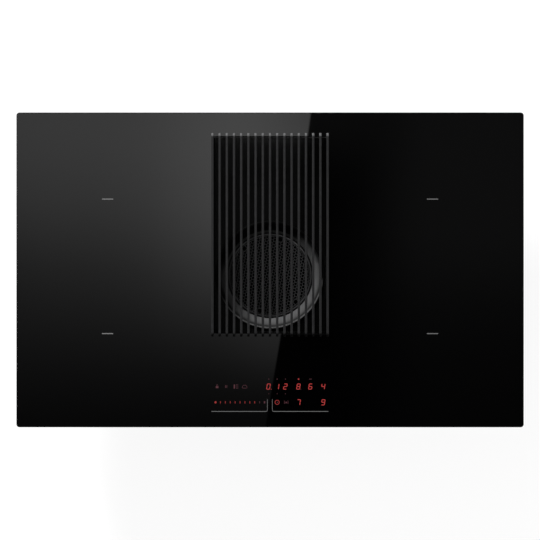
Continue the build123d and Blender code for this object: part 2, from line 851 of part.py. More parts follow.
with BuildPart() as board_standoffs:
    with BuildSketch(level(pan_floor)):
        for sign in sides.values():
            with Locations((sign * power_board_x, power_board_y)):
                with GridLocations(
                    power_board_length - 2 * standoff_inset,
                    power_board_width - 2 * standoff_inset,
                    2,
                    2,
                ):
                    Circle(standoff_radius)
        with Locations((filter_board_x, terminal_y)):
            with GridLocations(
                filter_board_length - 2 * standoff_inset,
                filter_board_width - 2 * standoff_inset,
                2,
                2,
            ):
                Circle(standoff_radius)
    extrude(amount=board_lift)
board_standoffs.part.label = "board_standoffs"
export_step(board_standoffs.part, "parts/board_standoffs.step")

# ---- Cooling blowers over the vents in the pan floor ----
for side, sign in sides.items():
    blower_centre = (sign * blower_x, blower_y)
    with BuildPart() as blower_frame:
        with BuildSketch(Plane((*blower_centre, pan_floor))):
            RectangleRounded(blower_size, blower_size, blower_wall)
        extrude(amount=blower_height)
        with BuildSketch(Plane((*blower_centre, pan_floor + blower_wall))):
            Circle(blower_cavity_radius)
            with Locations((0, blower_size / 4)):
                Rectangle(blower_outlet, blower_size / 2)
        extrude(amount=blower_height - blower_wall, mode=Mode.SUBTRACT)
        with BuildSketch(Plane((*blower_centre, pan_floor))):
            with PolarLocations((blower_hub_radius + blower_vane_inner) / 2 + blower_wall, 4):
                SlotOverall(blower_hub_radius, vent_width, rotation=90)
        extrude(amount=blower_wall, mode=Mode.SUBTRACT)
        with BuildSketch(Plane((*blower_centre, pan_floor + blower_wall))):
            Circle(blower_pin_radius)
        extrude(amount=blower_pin_height)
    blower_frame.part.label = f"cooling_fan_frame_{side}"
    export_step(blower_frame.part, f"parts/cooling_fan_frame_{side}.step")

    rotor_foot = pan_floor + blower_wall + blower_rotor_lift
    with BuildPart() as blower_rotor:
        with BuildSketch(Plane((*blower_centre, rotor_foot))):
            Circle(blower_rotor_radius)
        extrude(amount=blower_wall)
        with BuildSketch(Plane((*blower_centre, rotor_foot + blower_wall))):
            Circle(blower_hub_radius)
            with PolarLocations((blower_rotor_radius + blower_vane_inner) / 2, blower_vane_count):
                Rectangle(
                    blower_rotor_radius - blower_vane_inner - blower_vane_thickness,
                    blower_vane_thickness,
                    rotation=30,
                )
        extrude(amount=blower_rotor_height - blower_wall)
        with BuildSketch(Plane((*blower_centre, rotor_foot))):
            Circle(blower_pin_radius + shaft_clearance)
        extrude(amount=blower_rotor_height, mode=Mode.SUBTRACT)
    blower_rotor.part.label = f"cooling_fan_rotor_{side}"
    export_step(blower_rotor.part, f"parts/cooling_fan_rotor_{side}.step")

# ---- Touch control under the glass ----
touch_board_underside = glass_underside - display_height - board_thickness
with BuildPart() as touch_board:
    with BuildSketch(Plane((0, touch_y, touch_board_underside))):
        Rectangle(touch_board_length, touch_board_width)
    extrude(amount=board_thickness)
touch_board.part.label = "touch_board"
export_step(touch_board.part, "parts/touch_board.step")

with BuildPart() as display_modules:
    with BuildSketch(level(touch_board_underside + board_thickness)):
        with Locations((digit_block_x, touch_y + digit_block_shift)):
            Rectangle(digit_block_length, digit_block_width)
        with Locations((slider_block_x, touch_y + slider_block_shift)):
            Rectangle(slider_block_length, slider_block_width)
    extrude(amount=display_height)
display_modules.part.label = "display_modules"
export_step(display_modules.part, "parts/display_modules.step")

with BuildPart() as touch_carrier:
    frame_length = touch_board_length + 2 * touch_frame_margin
    frame_width = touch_board_width + 2 * touch_frame_margin
    with BuildSketch(Plane((0, touch_y, touch_board_underside - touch_frame_height))):
        RectangleRounded(frame_length, frame_width, touch_frame_margin)
        Rectangle(
            touch_board_length - 2 * touch_frame_margin,
            touch_board_width - 2 * touch_frame_margin,
            mode=Mode.SUBTRACT,
        )
    extrude(amount=touch_frame_height)
    with BuildSketch(Plane((0, touch_y, pan_floor))):
        with GridLocations(frame_length - touch_leg, frame_width - touch_leg, 2, 2):
            RectangleRounded(touch_leg, touch_leg, touch_frame_wall)
    extrude(amount=touch_board_underside - touch_frame_height - pan_floor)
touch_carrier.part.label = "touch_carrier"
export_step(touch_carrier.part, "parts/touch_carrier.step")

# ---- Mains connection under the rear left of the pan ----
terminal_foot = pan_underside - terminal_box_height
terminal_front = terminal_y - terminal_box_depth / 2
gland_z = terminal_foot + gland_level
with BuildPart() as terminal_box:
    with BuildSketch(Plane((terminal_x, terminal_y, terminal_foot))):
        RectangleRounded(terminal_box_length, terminal_box_depth, terminal_box_wall * 2)
    extrude(amount=terminal_box_height)
    with BuildSketch(Plane((terminal_x, terminal_y, terminal_foot))):
        RectangleRounded(
            terminal_box_length - 2 * terminal_box_wall,
            terminal_box_depth - 2 * terminal_box_wall,
            terminal_box_wall,
        )
    extrude(amount=terminal_box_height - terminal_box_wall, mode=Mode.SUBTRACT)
    with BuildSketch(Plane((terminal_x, terminal_y, pan_underside - terminal_box_wall))):
        Circle(feed_hole_radius)
    extrude(amount=terminal_box_wall, mode=Mode.SUBTRACT)
    with BuildSketch(Plane((terminal_x, terminal_front, gland_z), x_dir=(1, 0, 0), z_dir=(0, 1, 0))):
        Circle(gland_thread_radius + gland_clearance)
    extrude(amount=terminal_box_wall, mode=Mode.SUBTRACT)
terminal_box.part.label = "terminal_box"
export_step(terminal_box.part, "parts/terminal_box.step")

with BuildPart() as terminal_cover:
    with BuildSketch(Plane((terminal_x, terminal_y, terminal_foot - terminal_cover_thickness))):
        RectangleRounded(terminal_box_length, terminal_box_depth, terminal_box_wall * 2)
    extrude(amount=terminal_cover_thickness)
    chamfer(terminal_cover.faces().sort_by(Axis.Z)[0].edges(), length=terminal_cover_thickness / 3)
terminal_cover.part.label = "terminal_cover"
export_step(terminal_cover.part, "parts/terminal_cover.step")

terminal_ceiling = pan_underside - terminal_box_wall
terminal_block_y = terminal_y + feed_hole_radius + terminal_block_depth / 2
with BuildPart() as terminal_block:
    with BuildSketch(Plane((terminal_x, terminal_block_y, terminal_ceiling - terminal_block_height))):
        Rectangle(terminal_block_length, terminal_block_depth)
    extrude(amount=terminal_block_height)
    with BuildSketch(Plane((terminal_x, terminal_block_y, terminal_ceiling - terminal_block_height))):
        with GridLocations(terminal_way_pitch, terminal_block_depth / 2, 5, 2):
            Circle(terminal_way_radius)
    extrude(amount=terminal_block_height / 2, mode=Mode.SUBTRACT)
terminal_block.part.label = "terminal_block"
export_step(terminal_block.part, "parts/terminal_block.step")

with BuildPart() as cable_gland:
    gland_back = Plane(
        (terminal_x, terminal_front + terminal_box_wall + gland_tail, gland_z),
        x_dir=(1, 0, 0),
        z_dir=(0, -1, 0),
    )
    with BuildSketch(gland_back):
        Circle(gland_thread_radius)
    extrude(amount=gland_tail + terminal_box_wall)
    with BuildSketch(gland_back.offset(gland_tail + terminal_box_wall)):
        RegularPolygon(gland_nut_radius, 6)
    extrude(amount=gland_nut_length)
    with BuildSketch(gland_back.offset(gland_tail + terminal_box_wall + gland_nut_length)):
        Circle(gland_thread_radius)
    extrude(amount=gland_tail, taper=10)
    with BuildSketch(gland_back):
        Circle(gland_bore_radius)
    extrude(amount=2 * gland_tail + terminal_box_wall + gland_nut_length, mode=Mode.SUBTRACT)
cable_gland.part.label = "cable_gland"
export_step(cable_gland.part, "parts/cable_gland.step")

# ---- Fan casing ----
flange_grow = casing_wall + casing_flange
with BuildPart() as fan_casing_lower:
    extrude(scroll_profile(level(0), casing_wall), amount=casing_split)
    extrude(
        scroll_profile(level(casing_split - casing_flange_thickness), flange_grow),
        amount=casing_flange_thickness,
    )
    extrude(
        scroll_profile(level(casing_wall), 0),
        amount=casing_split - casing_wall,
        mode=Mode.SUBTRACT,
    )
    with BuildSketch(level(casing_split - casing_flange_thickness)):
        with Locations(*screw_axes()):
            Circle(screw_hole_radius)
    extrude(amount=casing_flange_thickness, mode=Mode.SUBTRACT)
fan_casing_lower.part.label = "fan_casing_lower"
export_step(fan_casing_lower.part, "parts/fan_casing_lower.step")

with BuildPart() as casing_seal:
    extrude(scroll_profile(level(casing_split), flange_grow), amount=casing_seal_thickness)
    extrude(scroll_profile(level(casing_split), 0), amount=casing_seal_thickness, mode=Mode.SUBTRACT)
    with BuildSketch(level(casing_split)):
        with Locations(*screw_axes()):
            Circle(screw_hole_radius)
    extrude(amount=casing_seal_thickness, mode=Mode.SUBTRACT)
casing_seal.part.label = "casing_seal"
export_step(casing_seal.part, "parts/casing_seal.step")

with BuildPart() as fan_casing_upper:
    extrude(scroll_profile(level(seal_level), casing_wall), amount=casing_height - seal_level)
    extrude(scroll_profile(level(seal_level), flange_grow), amount=casing_flange_thickness)
    extrude(
        scroll_profile(level(seal_level), 0),
        amount=casing_height - casing_wall - seal_level,
        mode=Mode.SUBTRACT,
    )
    with BuildSketch(intake_level(casing_height - casing_wall)):
        Circle(throat_radius + inlet_ring_wall + inlet_ring_clearance)
    extrude(amount=casing_wall, mode=Mode.SUBTRACT)
    with BuildSketch(level(casing_height - casing_wall)):
        with Locations(*neck_screws):
            Circle(screw_hole_radius)
    extrude(amount=casing_wall, mode=Mode.SUBTRACT)
    with BuildSketch(level(seal_level)):
        with Locations(*screw_axes()):
            Circle(screw_hole_radius)
    extrude(amount=casing_flange_thickness, mode=Mode.SUBTRACT)
fan_casing_upper.part.label = "fan_casing_upper"
export_step(fan_casing_upper.part, "parts/fan_casing_upper.step")

# ---- Collar that hangs the fan casing on the pan, and the impeller's inlet ring ----
with BuildPart() as throat_collar:
    with BuildSketch(intake_level(casing_height)):
        Circle(neck_outer_radius)
    extrude(amount=pan_underside - casing_height)
    for flange_foot in (casing_height, pan_underside - neck_flange_thickness):
        with BuildSketch(intake_level(flange_foot)):
            Circle(neck_outer_radius + neck_flange)
        extrude(amount=neck_flange_thickness)
    with BuildSketch(intake_level(casing_height)):
        Circle(neck_radius)
    extrude(amount=pan_underside - casing_height, mode=Mode.SUBTRACT)
    with BuildSketch(level(casing_height)):
        with Locations(*neck_screws):
            Circle(screw_hole_radius)
    extrude(amount=pan_underside - casing_height, mode=Mode.SUBTRACT)
throat_collar.part.label = "throat_collar"
export_step(throat_collar.part, "parts/throat_collar.step")

with BuildPart() as inlet_ring:
    with BuildSketch(intake_level(casing_height)):
        Circle(throat_radius + inlet_ring_wall + inlet_ring_flange)
    extrude(amount=inlet_ring_flange_thickness)
    with BuildSketch(intake_level(casing_height - inlet_ring_depth)):
        Circle(throat_radius + inlet_ring_wall)
    extrude(amount=inlet_ring_depth)
    with BuildSketch(intake_level(casing_height - inlet_ring_depth)):
        Circle(throat_radius)
    extrude(amount=inlet_ring_depth + inlet_ring_flange_thickness, mode=Mode.SUBTRACT)
inlet_ring.part.label = "inlet_ring"
export_step(inlet_ring.part, "parts/inlet_ring.step")

with BuildPart() as throat_seal:
    with BuildSketch(intake_level(throat_seal_foot)):
        Circle(throat_radius + 2 * funnel_wall)
        Circle(throat_radius, mode=Mode.SUBTRACT)
    extrude(amount=throat_seal_thickness)
throat_seal.part.label = "throat_seal"
export_step(throat_seal.part, "parts/throat_seal.step")

with BuildPart() as fan_screws:
    with BuildSketch(level(casing_split - casing_flange_thickness - screw_head_height)):
        with Locations(*screw_axes()):
            Circle(screw_head_radius)
    extrude(amount=screw_head_height)
    with BuildSketch(level(casing_split - casing_flange_thickness)):
        with Locations(*screw_axes()):
            Circle(screw_radius)
    extrude(amount=2 * casing_flange_thickness + casing_seal_thickness)
    with BuildSketch(level(pan_underside - neck_flange_thickness - screw_head_height)):
        with Locations(*neck_screws):
            Circle(screw_head_radius)
    extrude(amount=screw_head_height)
    with BuildSketch(level(pan_underside - neck_flange_thickness)):
        with Locations(*neck_screws):
            Circle(screw_radius)
    extrude(amount=neck_flange_thickness + sheet)
    with BuildSketch(level(casing_height + neck_flange_thickness)):
        with Locations(*neck_screws):
            Circle(screw_head_radius)
    extrude(amount=screw_head_height)
    with BuildSketch(level(casing_height - casing_wall)):
        with Locations(*neck_screws):
            Circle(screw_radius)
    extrude(amount=casing_wall + neck_flange_thickness)
fan_screws.part.label = "fan_screws"
export_step(fan_screws.part, "parts/fan_screws.step")

with BuildPart() as air_outlet_spigot:
    spigot_face = Plane((duct_x, mouth_y, casing_height / 2), x_dir=(-1, 0, 0), z_dir=(0, 1, 0))
    with BuildSketch(spigot_face):
        Rectangle(duct_right - duct_left + 2 * flange_grow, casing_height)
    extrude(amount=spigot_plate)
    with BuildSketch(spigot_face.offset(spigot_plate)):
        RectangleRounded(spigot_width, spigot_height, spigot_corner_radius)
    extrude(amount=spigot_length)
    chamfer(air_outlet_spigot.faces().sort_by(Axis.Y)[-1].edges(), length=spigot_lead_in)
    with BuildSketch(spigot_face):
        RectangleRounded(
            spigot_width - 2 * spigot_wall,
            spigot_height - 2 * spigot_wall,
            spigot_corner_radius - spigot_wall,
        )
    extrude(amount=spigot_plate + spigot_length, mode=Mode.SUBTRACT)
air_outlet_spigot.part.label = "air_outlet_spigot"
export_step(air_outlet_spigot.part, "parts/air_outlet_spigot.step")

# ---- Fan motor: outer rotor on a bearing tube ----
mount_plate_underside = casing_wall + damper_height
mount_plate_top = mount_plate_underside + mount_plate_thickness
dampers = polar_spots(damper_circle, damper_count, 90)
with BuildPart() as motor_dampers:
    with BuildSketch(level(casing_wall)):
        with Locations(*dampers):
            Circle(damper_radius)
    extrude(amount=damper_height)
motor_dampers.part.label = "motor_dampers"
export_step(motor_dampers.part, "parts/motor_dampers.step")

tube_bore = bearing_radius + press_clearance
tube_radius = tube_bore + bearing_tube_wall
with BuildPart() as motor_mount_plate:
    with BuildSketch(intake_level(mount_plate_underside)):
        Circle(mount_plate_radius)
    extrude(amount=mount_plate_thickness)
    with BuildSketch(intake_level(mount_plate_top)):
        Circle(tube_radius)
    extrude(amount=bearing_tube_height)
    with BuildSketch(intake_level(mount_plate_top)):
        Circle(tube_bore)
    extrude(amount=bearing_tube_height, mode=Mode.SUBTRACT)
motor_mount_plate.part.label = "motor_mount_plate"
export_step(motor_mount_plate.part, "parts/motor_mount_plate.step")

with BuildPart() as motor_driver_board:
    with BuildSketch(intake_level(mount_plate_top)):
        Circle(driver_board_radius)
        Circle(tube_radius + press_clearance, mode=Mode.SUBTRACT)
    extrude(amount=board_thickness)
motor_driver_board.part.label = "motor_driver_board"
export_step(motor_driver_board.part, "parts/motor_driver_board.step")

with BuildPart() as motor_bearings:
    for foot in (mount_plate_top, mount_plate_top + bearing_tube_height - bearing_width):
        with BuildSketch(intake_level(foot)):
            Circle(bearing_radius)
            Circle(shaft_radius + shaft_clearance, mode=Mode.SUBTRACT)
        extrude(amount=bearing_width)
motor_bearings.part.label = "motor_bearings"
export_step(motor_bearings.part, "parts/motor_bearings.step")

stator_foot = mount_plate_top + stator_lift
with BuildPart() as motor_stator:
    with BuildSketch(intake_level(stator_foot)):
        Circle(stator_yoke_radius)
        with PolarLocations((stator_radius - stator_tip) / 2, stator_teeth):
            Rectangle(stator_radius - stator_tip, stator_tooth_width)
        with PolarLocations(stator_radius - stator_tip, stator_teeth):
            Rectangle(stator_tip, 2 * stator_tooth_width)
        Circle(tube_radius + press_clearance, mode=Mode.SUBTRACT)
    extrude(amount=stator_stack)
motor_stator.part.label = "motor_stator"
export_step(motor_stator.part, "parts/motor_stator.step")

winding_length = stator_radius - 1.5 * stator_tip - stator_yoke_radius - 2 * winding_build
winding_radius = stator_yoke_radius + winding_build + winding_length / 2
with BuildPart() as stator_windings:
    with BuildSketch(intake_level(stator_foot - winding_build)):
        with PolarLocations(winding_radius, stator_teeth):
            Rectangle(winding_length, stator_tooth_width + 2 * winding_build)
    extrude(amount=stator_stack + 2 * winding_build)
    with BuildSketch(intake_level(stator_foot)):
        with PolarLocations(winding_radius, stator_teeth):
            Rectangle(winding_length, stator_tooth_width)
    extrude(amount=stator_stack, mode=Mode.SUBTRACT)
stator_windings.part.label = "stator_windings"
export_step(stator_windings.part, "parts/stator_windings.step")

magnet_inner_radius = stator_radius + magnet_gap
magnet_outer_radius = magnet_inner_radius + magnet_thickness
cup_inner_radius = magnet_outer_radius + press_clearance
cup_outer_radius = cup_inner_radius + rotor_wall
cup_foot = mount_plate_top + rotor_floor_gap
cup_ceiling = mount_plate_top + bearing_tube_height + rotor_wall
cup_top = cup_ceiling + rotor_wall
with BuildPart() as rotor_magnets:
    with BuildSketch(intake_level(stator_foot)):
        Circle(magnet_outer_radius)
        Circle(magnet_inner_radius, mode=Mode.SUBTRACT)
    extrude(amount=stator_stack)
rotor_magnets.part.label = "rotor_magnets"
export_step(rotor_magnets.part, "parts/rotor_magnets.step")

with BuildPart() as motor_rotor:
    with BuildSketch(intake_level(cup_foot)):
        Circle(cup_outer_radius)
    extrude(amount=cup_top - cup_foot)
    with BuildSketch(intake_level(cup_foot)):
        Circle(cup_inner_radius)
    extrude(amount=cup_ceiling - cup_foot, mode=Mode.SUBTRACT)
    with BuildSketch(intake_level(cup_ceiling)):
        Circle(shaft_radius + press_clearance)
    extrude(amount=rotor_wall, mode=Mode.SUBTRACT)
motor_rotor.part.label = "motor_rotor"
export_step(motor_rotor.part, "parts/motor_rotor.step")

hub_ceiling = cup_top + hub_clearance
hub_top = hub_ceiling + hub_wall
with BuildPart() as motor_shaft:
    with BuildSketch(intake_level(mount_plate_top)):
        Circle(shaft_radius)
    extrude(amount=hub_top + shaft_top_margin - mount_plate_top)
motor_shaft.part.label = "motor_shaft"
export_step(motor_shaft.part, "parts/motor_shaft.step")

# ---- Impeller: a plate with its hub, and the cage of blades on it ----
impeller_foot = casing_wall + impeller_floor_gap
hub_inner_radius = cup_outer_radius + hub_clearance
with BuildPart() as impeller:
    with BuildSketch(intake_level(impeller_foot)):
        Circle(impeller_radius)
    extrude(amount=impeller_plate)
    with BuildSketch(intake_level(impeller_foot)):
        Circle(hub_inner_radius + hub_wall)
    extrude(amount=hub_top - impeller_foot)
    with BuildSketch(intake_level(impeller_foot)):
        Circle(hub_inner_radius)
    extrude(amount=hub_ceiling - impeller_foot, mode=Mode.SUBTRACT)
    with BuildSketch(intake_level(hub_ceiling)):
        Circle(shaft_radius + press_clearance)
    extrude(amount=hub_wall, mode=Mode.SUBTRACT)
impeller.part.label = "impeller"
export_step(impeller.part, "parts/impeller.step")

blade_outer = impeller_radius - blade_inset
blade_middle = ((impeller_inner_radius + blade_outer) / 2, blade_sweep / 3)
blade_root = (impeller_inner_radius + blade_inset, 0)
blade_tip = (blade_outer * cos(radians(blade_sweep)), blade_outer * sin(radians(blade_sweep)))
with BuildPart() as impeller_cage:
    blade_line = ThreePointArc(blade_root, blade_middle, blade_tip)
    with BuildSketch(intake_level(impeller_foot + impeller_plate)):
        with PolarLocations(0, blade_count):
            SlotArc(blade_line, blade_thickness)
    extrude(amount=impeller_height - impeller_plate - impeller_ring)
    with BuildSketch(intake_level(impeller_foot + impeller_height - impeller_ring)):
        Circle(impeller_radius)
        Circle(impeller_radius - impeller_ring_width, mode=Mode.SUBTRACT)
    extrude(amount=impeller_ring)
impeller_cage.part.label = "impeller_cage"
export_step(impeller_cage.part, "parts/impeller_cage.step")
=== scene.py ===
"""Looks of the downdraft induction cooktop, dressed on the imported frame. Metres, +Y to the rear."""

import json
import math

import bmesh
import bpy
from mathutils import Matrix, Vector


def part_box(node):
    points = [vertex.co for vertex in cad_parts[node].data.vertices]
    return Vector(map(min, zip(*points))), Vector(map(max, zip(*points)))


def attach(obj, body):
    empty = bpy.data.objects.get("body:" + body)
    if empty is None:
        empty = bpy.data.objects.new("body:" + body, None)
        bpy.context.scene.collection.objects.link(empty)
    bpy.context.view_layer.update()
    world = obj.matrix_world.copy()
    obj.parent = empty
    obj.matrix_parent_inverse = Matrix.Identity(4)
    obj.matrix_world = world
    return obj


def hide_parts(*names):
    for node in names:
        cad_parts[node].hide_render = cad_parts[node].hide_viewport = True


MM = 0.001

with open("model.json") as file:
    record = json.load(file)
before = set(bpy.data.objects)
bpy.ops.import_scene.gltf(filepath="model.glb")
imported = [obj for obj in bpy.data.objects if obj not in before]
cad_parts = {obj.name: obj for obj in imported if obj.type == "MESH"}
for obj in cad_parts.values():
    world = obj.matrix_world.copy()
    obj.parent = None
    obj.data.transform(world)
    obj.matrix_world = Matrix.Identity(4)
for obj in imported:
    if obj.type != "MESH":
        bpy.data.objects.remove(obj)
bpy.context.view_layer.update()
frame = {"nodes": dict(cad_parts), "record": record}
record = frame["record"]
slot_of = {part["node"]: part["material_slot"] for part in record["subparts"]}

glass_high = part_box("glass_top")[1]
surface = glass_high.z
# Middle of the round funnel and its filter.
intake_centre = Vector((0.0, -9.0 * MM, 0.0))

# The photograph looks straight down: a square frame of this width at the level of the glass.
VIEW_WIDTH = 883.2 * MM
VIEW_HEIGHT = 2600 * MM
VIEW_CENTRE = Vector((-0.1 * MM, -0.2 * MM, 0.0))
SENSOR_WIDTH = 36.0
VIEW_REACH = 50

# The bright reflection on the glass ends on a slanted line, which turns a little towards the front.
EDGE_X = 31.8 * MM
EDGE_SLANT = 0.1357
EDGE_TURN_Y = -115 * MM
EDGE_TURN = 0.031
EDGE_BLUR = 3 * MM


# ---- Node helpers ----
def shader_parts(made):
    """Tree of a node material, and its principled shader."""
    tree = made.node_tree
    return tree, next(node for node in tree.nodes if node.type == "BSDF_PRINCIPLED")


def material(name):
    """New node material, with its tree and its principled shader."""
    made = bpy.data.materials.new(name)
    made.use_nodes = True
    return made, *shader_parts(made)


def add_node(tree, kind, **properties):
    """New node of a kind, with some of its properties set."""
    node = tree.nodes.new(kind)
    for key, value in properties.items():
        setattr(node, key, value)
    return node


def noise(tree, scale, detail=3.0, roughness=0.55, stretch=(1, 1, 1)):
    """Noise texture in the object's own coordinates, scale in features per metre."""
    where = add_node(tree, "ShaderNodeTexCoord")
    mapping = add_node(tree, "ShaderNodeMapping")
    mapping.inputs["Scale"].default_value = stretch
    grain = add_node(tree, "ShaderNodeTexNoise")
    grain.inputs["Scale"].default_value = scale
    grain.inputs["Detail"].default_value = detail
    grain.inputs["Roughness"].default_value = roughness
    tree.links.new(where.outputs["Object"], mapping.inputs["Vector"])
    tree.links.new(mapping.outputs["Vector"], grain.inputs["Vector"])
    return grain


def spread(tree, source, low, high, start=0.3, stop=0.7):
    """Maps a value between start and stop to one between low and high, and holds it outside them."""
    ranged = add_node(tree, "ShaderNodeMapRange")
    ranged.inputs["From Min"].default_value = start
    ranged.inputs["From Max"].default_value = stop
    ranged.inputs["To Min"].default_value = low
    ranged.inputs["To Max"].default_value = high
    tree.links.new(source, ranged.inputs["Value"])
    return ranged.outputs["Result"]


def rising(tree, source, start, stop):
    """Mask that is nought before start and one after stop."""
    return spread(tree, source, 0.0, 1.0, start, stop)


def falling(tree, source, start, stop):
    """Mask that is one before start and nought after stop."""
    return spread(tree, source, 1.0, 0.0, start, stop)


def tint(tree, source, dark, light, start=0.3, stop=0.7):
    """Colour between two tones by a texture's value."""
    ramp = add_node(tree, "ShaderNodeValToRGB")
    ramp.color_ramp.elements[0].position = start
    ramp.color_ramp.elements[0].color = (*dark, 1)
    ramp.color_ramp.elements[1].position = stop
    ramp.color_ramp.elements[1].color = (*light, 1)
    tree.links.new(source, ramp.inputs["Fac"])
    return ramp.outputs["Color"]


def bump(tree, shader, source, height, strength=1.0):
    """Fine relief of a real height in metres."""
    relief = add_node(tree, "ShaderNodeBump")
    relief.inputs["Distance"].default_value = height
    relief.inputs["Strength"].default_value = strength
    tree.links.new(source, relief.inputs["Height"])
    tree.links.new(relief.outputs["Normal"], shader.inputs["Normal"])


def place(tree, axis):
    """One of the object's own coordinates, in metres."""
    where = add_node(tree, "ShaderNodeTexCoord")
    split = add_node(tree, "ShaderNodeSeparateXYZ")
    tree.links.new(where.outputs["Object"], split.inputs["Vector"])
    return split.outputs[axis]


def math_node(tree, operation, first, second=0.0, clamp=False):
    """Result of a sum on one or two values, each a socket or a number."""
    node = add_node(tree, "ShaderNodeMath", operation=operation)
    node.use_clamp = clamp
    for index, value in enumerate((first, second)):
        if isinstance(value, (int, float)):
            node.inputs[index].default_value = value
        else:
            tree.links.new(value, node.inputs[index])
    return node.outputs[0]


def product(tree, first, *others):
    """Product of two or more values."""
    result = first
    for other in others:
        result = math_node(tree, "MULTIPLY", result, other)
    return result


def distance(tree, across, along):
    """Distance from the middle, by the two coordinates of a place."""
    square = math_node(tree, "ADD", product(tree, across, across), product(tree, along, along))
    return math_node(tree, "SQRT", square)


def blend_colour(tree, share, first, second):
    """Mix of two colours, each a socket or a tone, by a share."""
    mix = add_node(tree, "ShaderNodeMix", data_type="RGBA")
    sockets = [socket for socket in mix.inputs if socket.type == "RGBA"]
    for socket, value in zip(sockets, (first, second)):
        if isinstance(value, tuple):
            socket.default_value = (*value, 1)
        else:
            tree.links.new(value, socket)
    tree.links.new(share, mix.inputs["Factor"])
    return next(socket for socket in mix.outputs if socket.type == "RGBA")


def smooth_curve(tree, source, points, top=1.0, unit=1.0):
    """Value that follows (spot, level) points along a coordinate: spots in a unit, levels up to top."""
    first, last = points[0][0], points[-1][0]
    share = rising(tree, source, first * unit, last * unit)
    curve = add_node(tree, "ShaderNodeValToRGB")
    curve.color_ramp.interpolation = "B_SPLINE"
    ramp = curve.color_ramp.elements
    while len(ramp) < len(points):
        ramp.new(0.5)
    for element, (spot, level) in zip(ramp, points):
        element.position = (spot - first) / (last - first)
        element.color = (level / top, level / top, level / top, 1)
    tree.links.new(share, curve.inputs["Fac"])
    return math_node(tree, "MULTIPLY", curve.outputs["Color"], top)


def signed_curve(tree, source, points):
    """Like smooth_curve, for levels between minus one and one."""
    raised = [(spot, level + 1.0) for spot, level in points]
    return math_node(tree, "SUBTRACT", smooth_curve(tree, source, raised, 2.0), 1.0)


def past_edge(tree, across, along):
    """How far a place is to the right of the slanted line where the bright reflection ends."""
    line = math_node(tree, "ADD", product(tree, along, EDGE_SLANT), EDGE_X)
    return math_node(tree, "SUBTRACT", across, line)


def set_base(shader, colour, roughness, metallic=0.0):
    """Plain values of a surface on the shader's own sockets, also under what a texture then varies."""
    shader.inputs["Base Color"].default_value = (*colour, 1)
    shader.inputs["Roughness"].default_value = roughness
    shader.inputs["Metallic"].default_value = metallic


# ---- Plain materials ----
# Height of the finest relief: the spark grain of plastic and the bloom on rubber.
FINE_RELIEF = 0.03 * MM
MOULDED_DRIFT = 0.12


def moulded(name, colour, roughness, sheen=0.5):
    """Moulded plastic with a fine spark grain and slightly uneven tone."""
    made, tree, shader = material(name)
    set_base(shader, colour, roughness)
    shader.inputs["Specular IOR Level"].default_value = sheen
    cloud = noise(tree, 30, detail=3).outputs["Fac"]
    grain = noise(tree, 1400, detail=2).outputs["Fac"]
    dark = tuple(part * (1 - MOULDED_DRIFT) for part in colour)
    light = tuple(min(1.0, part * (1 + MOULDED_DRIFT)) for part in colour)
    tree.links.new(tint(tree, cloud, dark, light), shader.inputs["Base Color"])
    tree.links.new(spread(tree, cloud, roughness - 0.05, roughness + 0.05), shader.inputs["Roughness"])
    bump(tree, shader, grain, FINE_RELIEF, 0.5)
    return made


def soft_rubber(name):
    """Dull black rubber with a dusty bloom."""
    made, tree, shader = material(name)
    body = (0.02, 0.02, 0.02)
    set_base(shader, body, 0.8)
    bloom = noise(tree, 90, detail=4).outputs["Fac"]
    tree.links.new(tint(tree, bloom, body, (0.032, 0.032, 0.032)), shader.inputs["Base Color"])
    bump(tree, shader, noise(tree, 2200).outputs["Fac"], FINE_RELIEF, 0.5)
    return made


def spangled_zinc(name):
    """Galvanised sheet: crystals of slightly different tone and gloss."""
    made, tree, shader = material(name)
    set_base(shader, (0.4, 0.405, 0.41), 0.4, 1.0)
    where = add_node(tree, "ShaderNodeTexCoord")
    crystals = add_node(tree, "ShaderNodeTexVoronoi")
    crystals.inputs["Scale"].default_value = 90
    tree.links.new(where.outputs["Object"], crystals.inputs["Vector"])
    grey = add_node(tree, "ShaderNodeRGBToBW")
    tree.links.new(crystals.outputs["Color"], grey.inputs["Color"])
    colour = tint(tree, grey.outputs["Val"], (0.33, 0.335, 0.34), (0.48, 0.485, 0.49), 0.1, 0.9)
    tree.links.new(colour, shader.inputs["Base Color"])
    tree.links.new(spread(tree, grey.outputs["Val"], 0.3, 0.5, 0.1, 0.9), shader.inputs["Roughness"])
    bump(tree, shader, noise(tree, 40, detail=5).outputs["Fac"], 0.08 * MM, 0.4)
    return made


def worked_metal(name, colour, roughness):
    """Metal with a drawn or rolled grain along one direction."""
    made, tree, shader = material(name)
    set_base(shader, colour, roughness, 1.0)
    lines = noise(tree, 220, detail=4, stretch=(1, 14, 1)).outputs["Fac"]
    dark = tuple(part * 0.86 for part in colour)
    tree.links.new(tint(tree, lines, dark, colour), shader.inputs["Base Color"])
    tree.links.new(spread(tree, lines, roughness - 0.07, roughness + 0.07), shader.inputs["Roughness"])
    bump(tree, shader, lines, 0.02 * MM, 0.5)
    return made


def litz_winding(name):
    """Copper litz wire laid in close turns, seen as fine rings."""
    made, tree, shader = material(name)
    set_base(shader, (0.42, 0.17, 0.06), 0.38, 0.6)
    rings = add_node(tree, "ShaderNodeTexWave", wave_type="RINGS", rings_direction="Z")
    rings.inputs["Scale"].default_value = 90
    rings.inputs["Distortion"].default_value = 0.6
    where = add_node(tree, "ShaderNodeTexCoord")
    tree.links.new(where.outputs["Object"], rings.inputs["Vector"])
    colour = tint(tree, rings.outputs["Fac"], (0.2, 0.07, 0.025), (0.55, 0.25, 0.1), 0.2, 0.8)
    tree.links.new(colour, shader.inputs["Base Color"])
    bump(tree, shader, rings.outputs["Fac"], 0.4 * MM, 0.5)
    return made


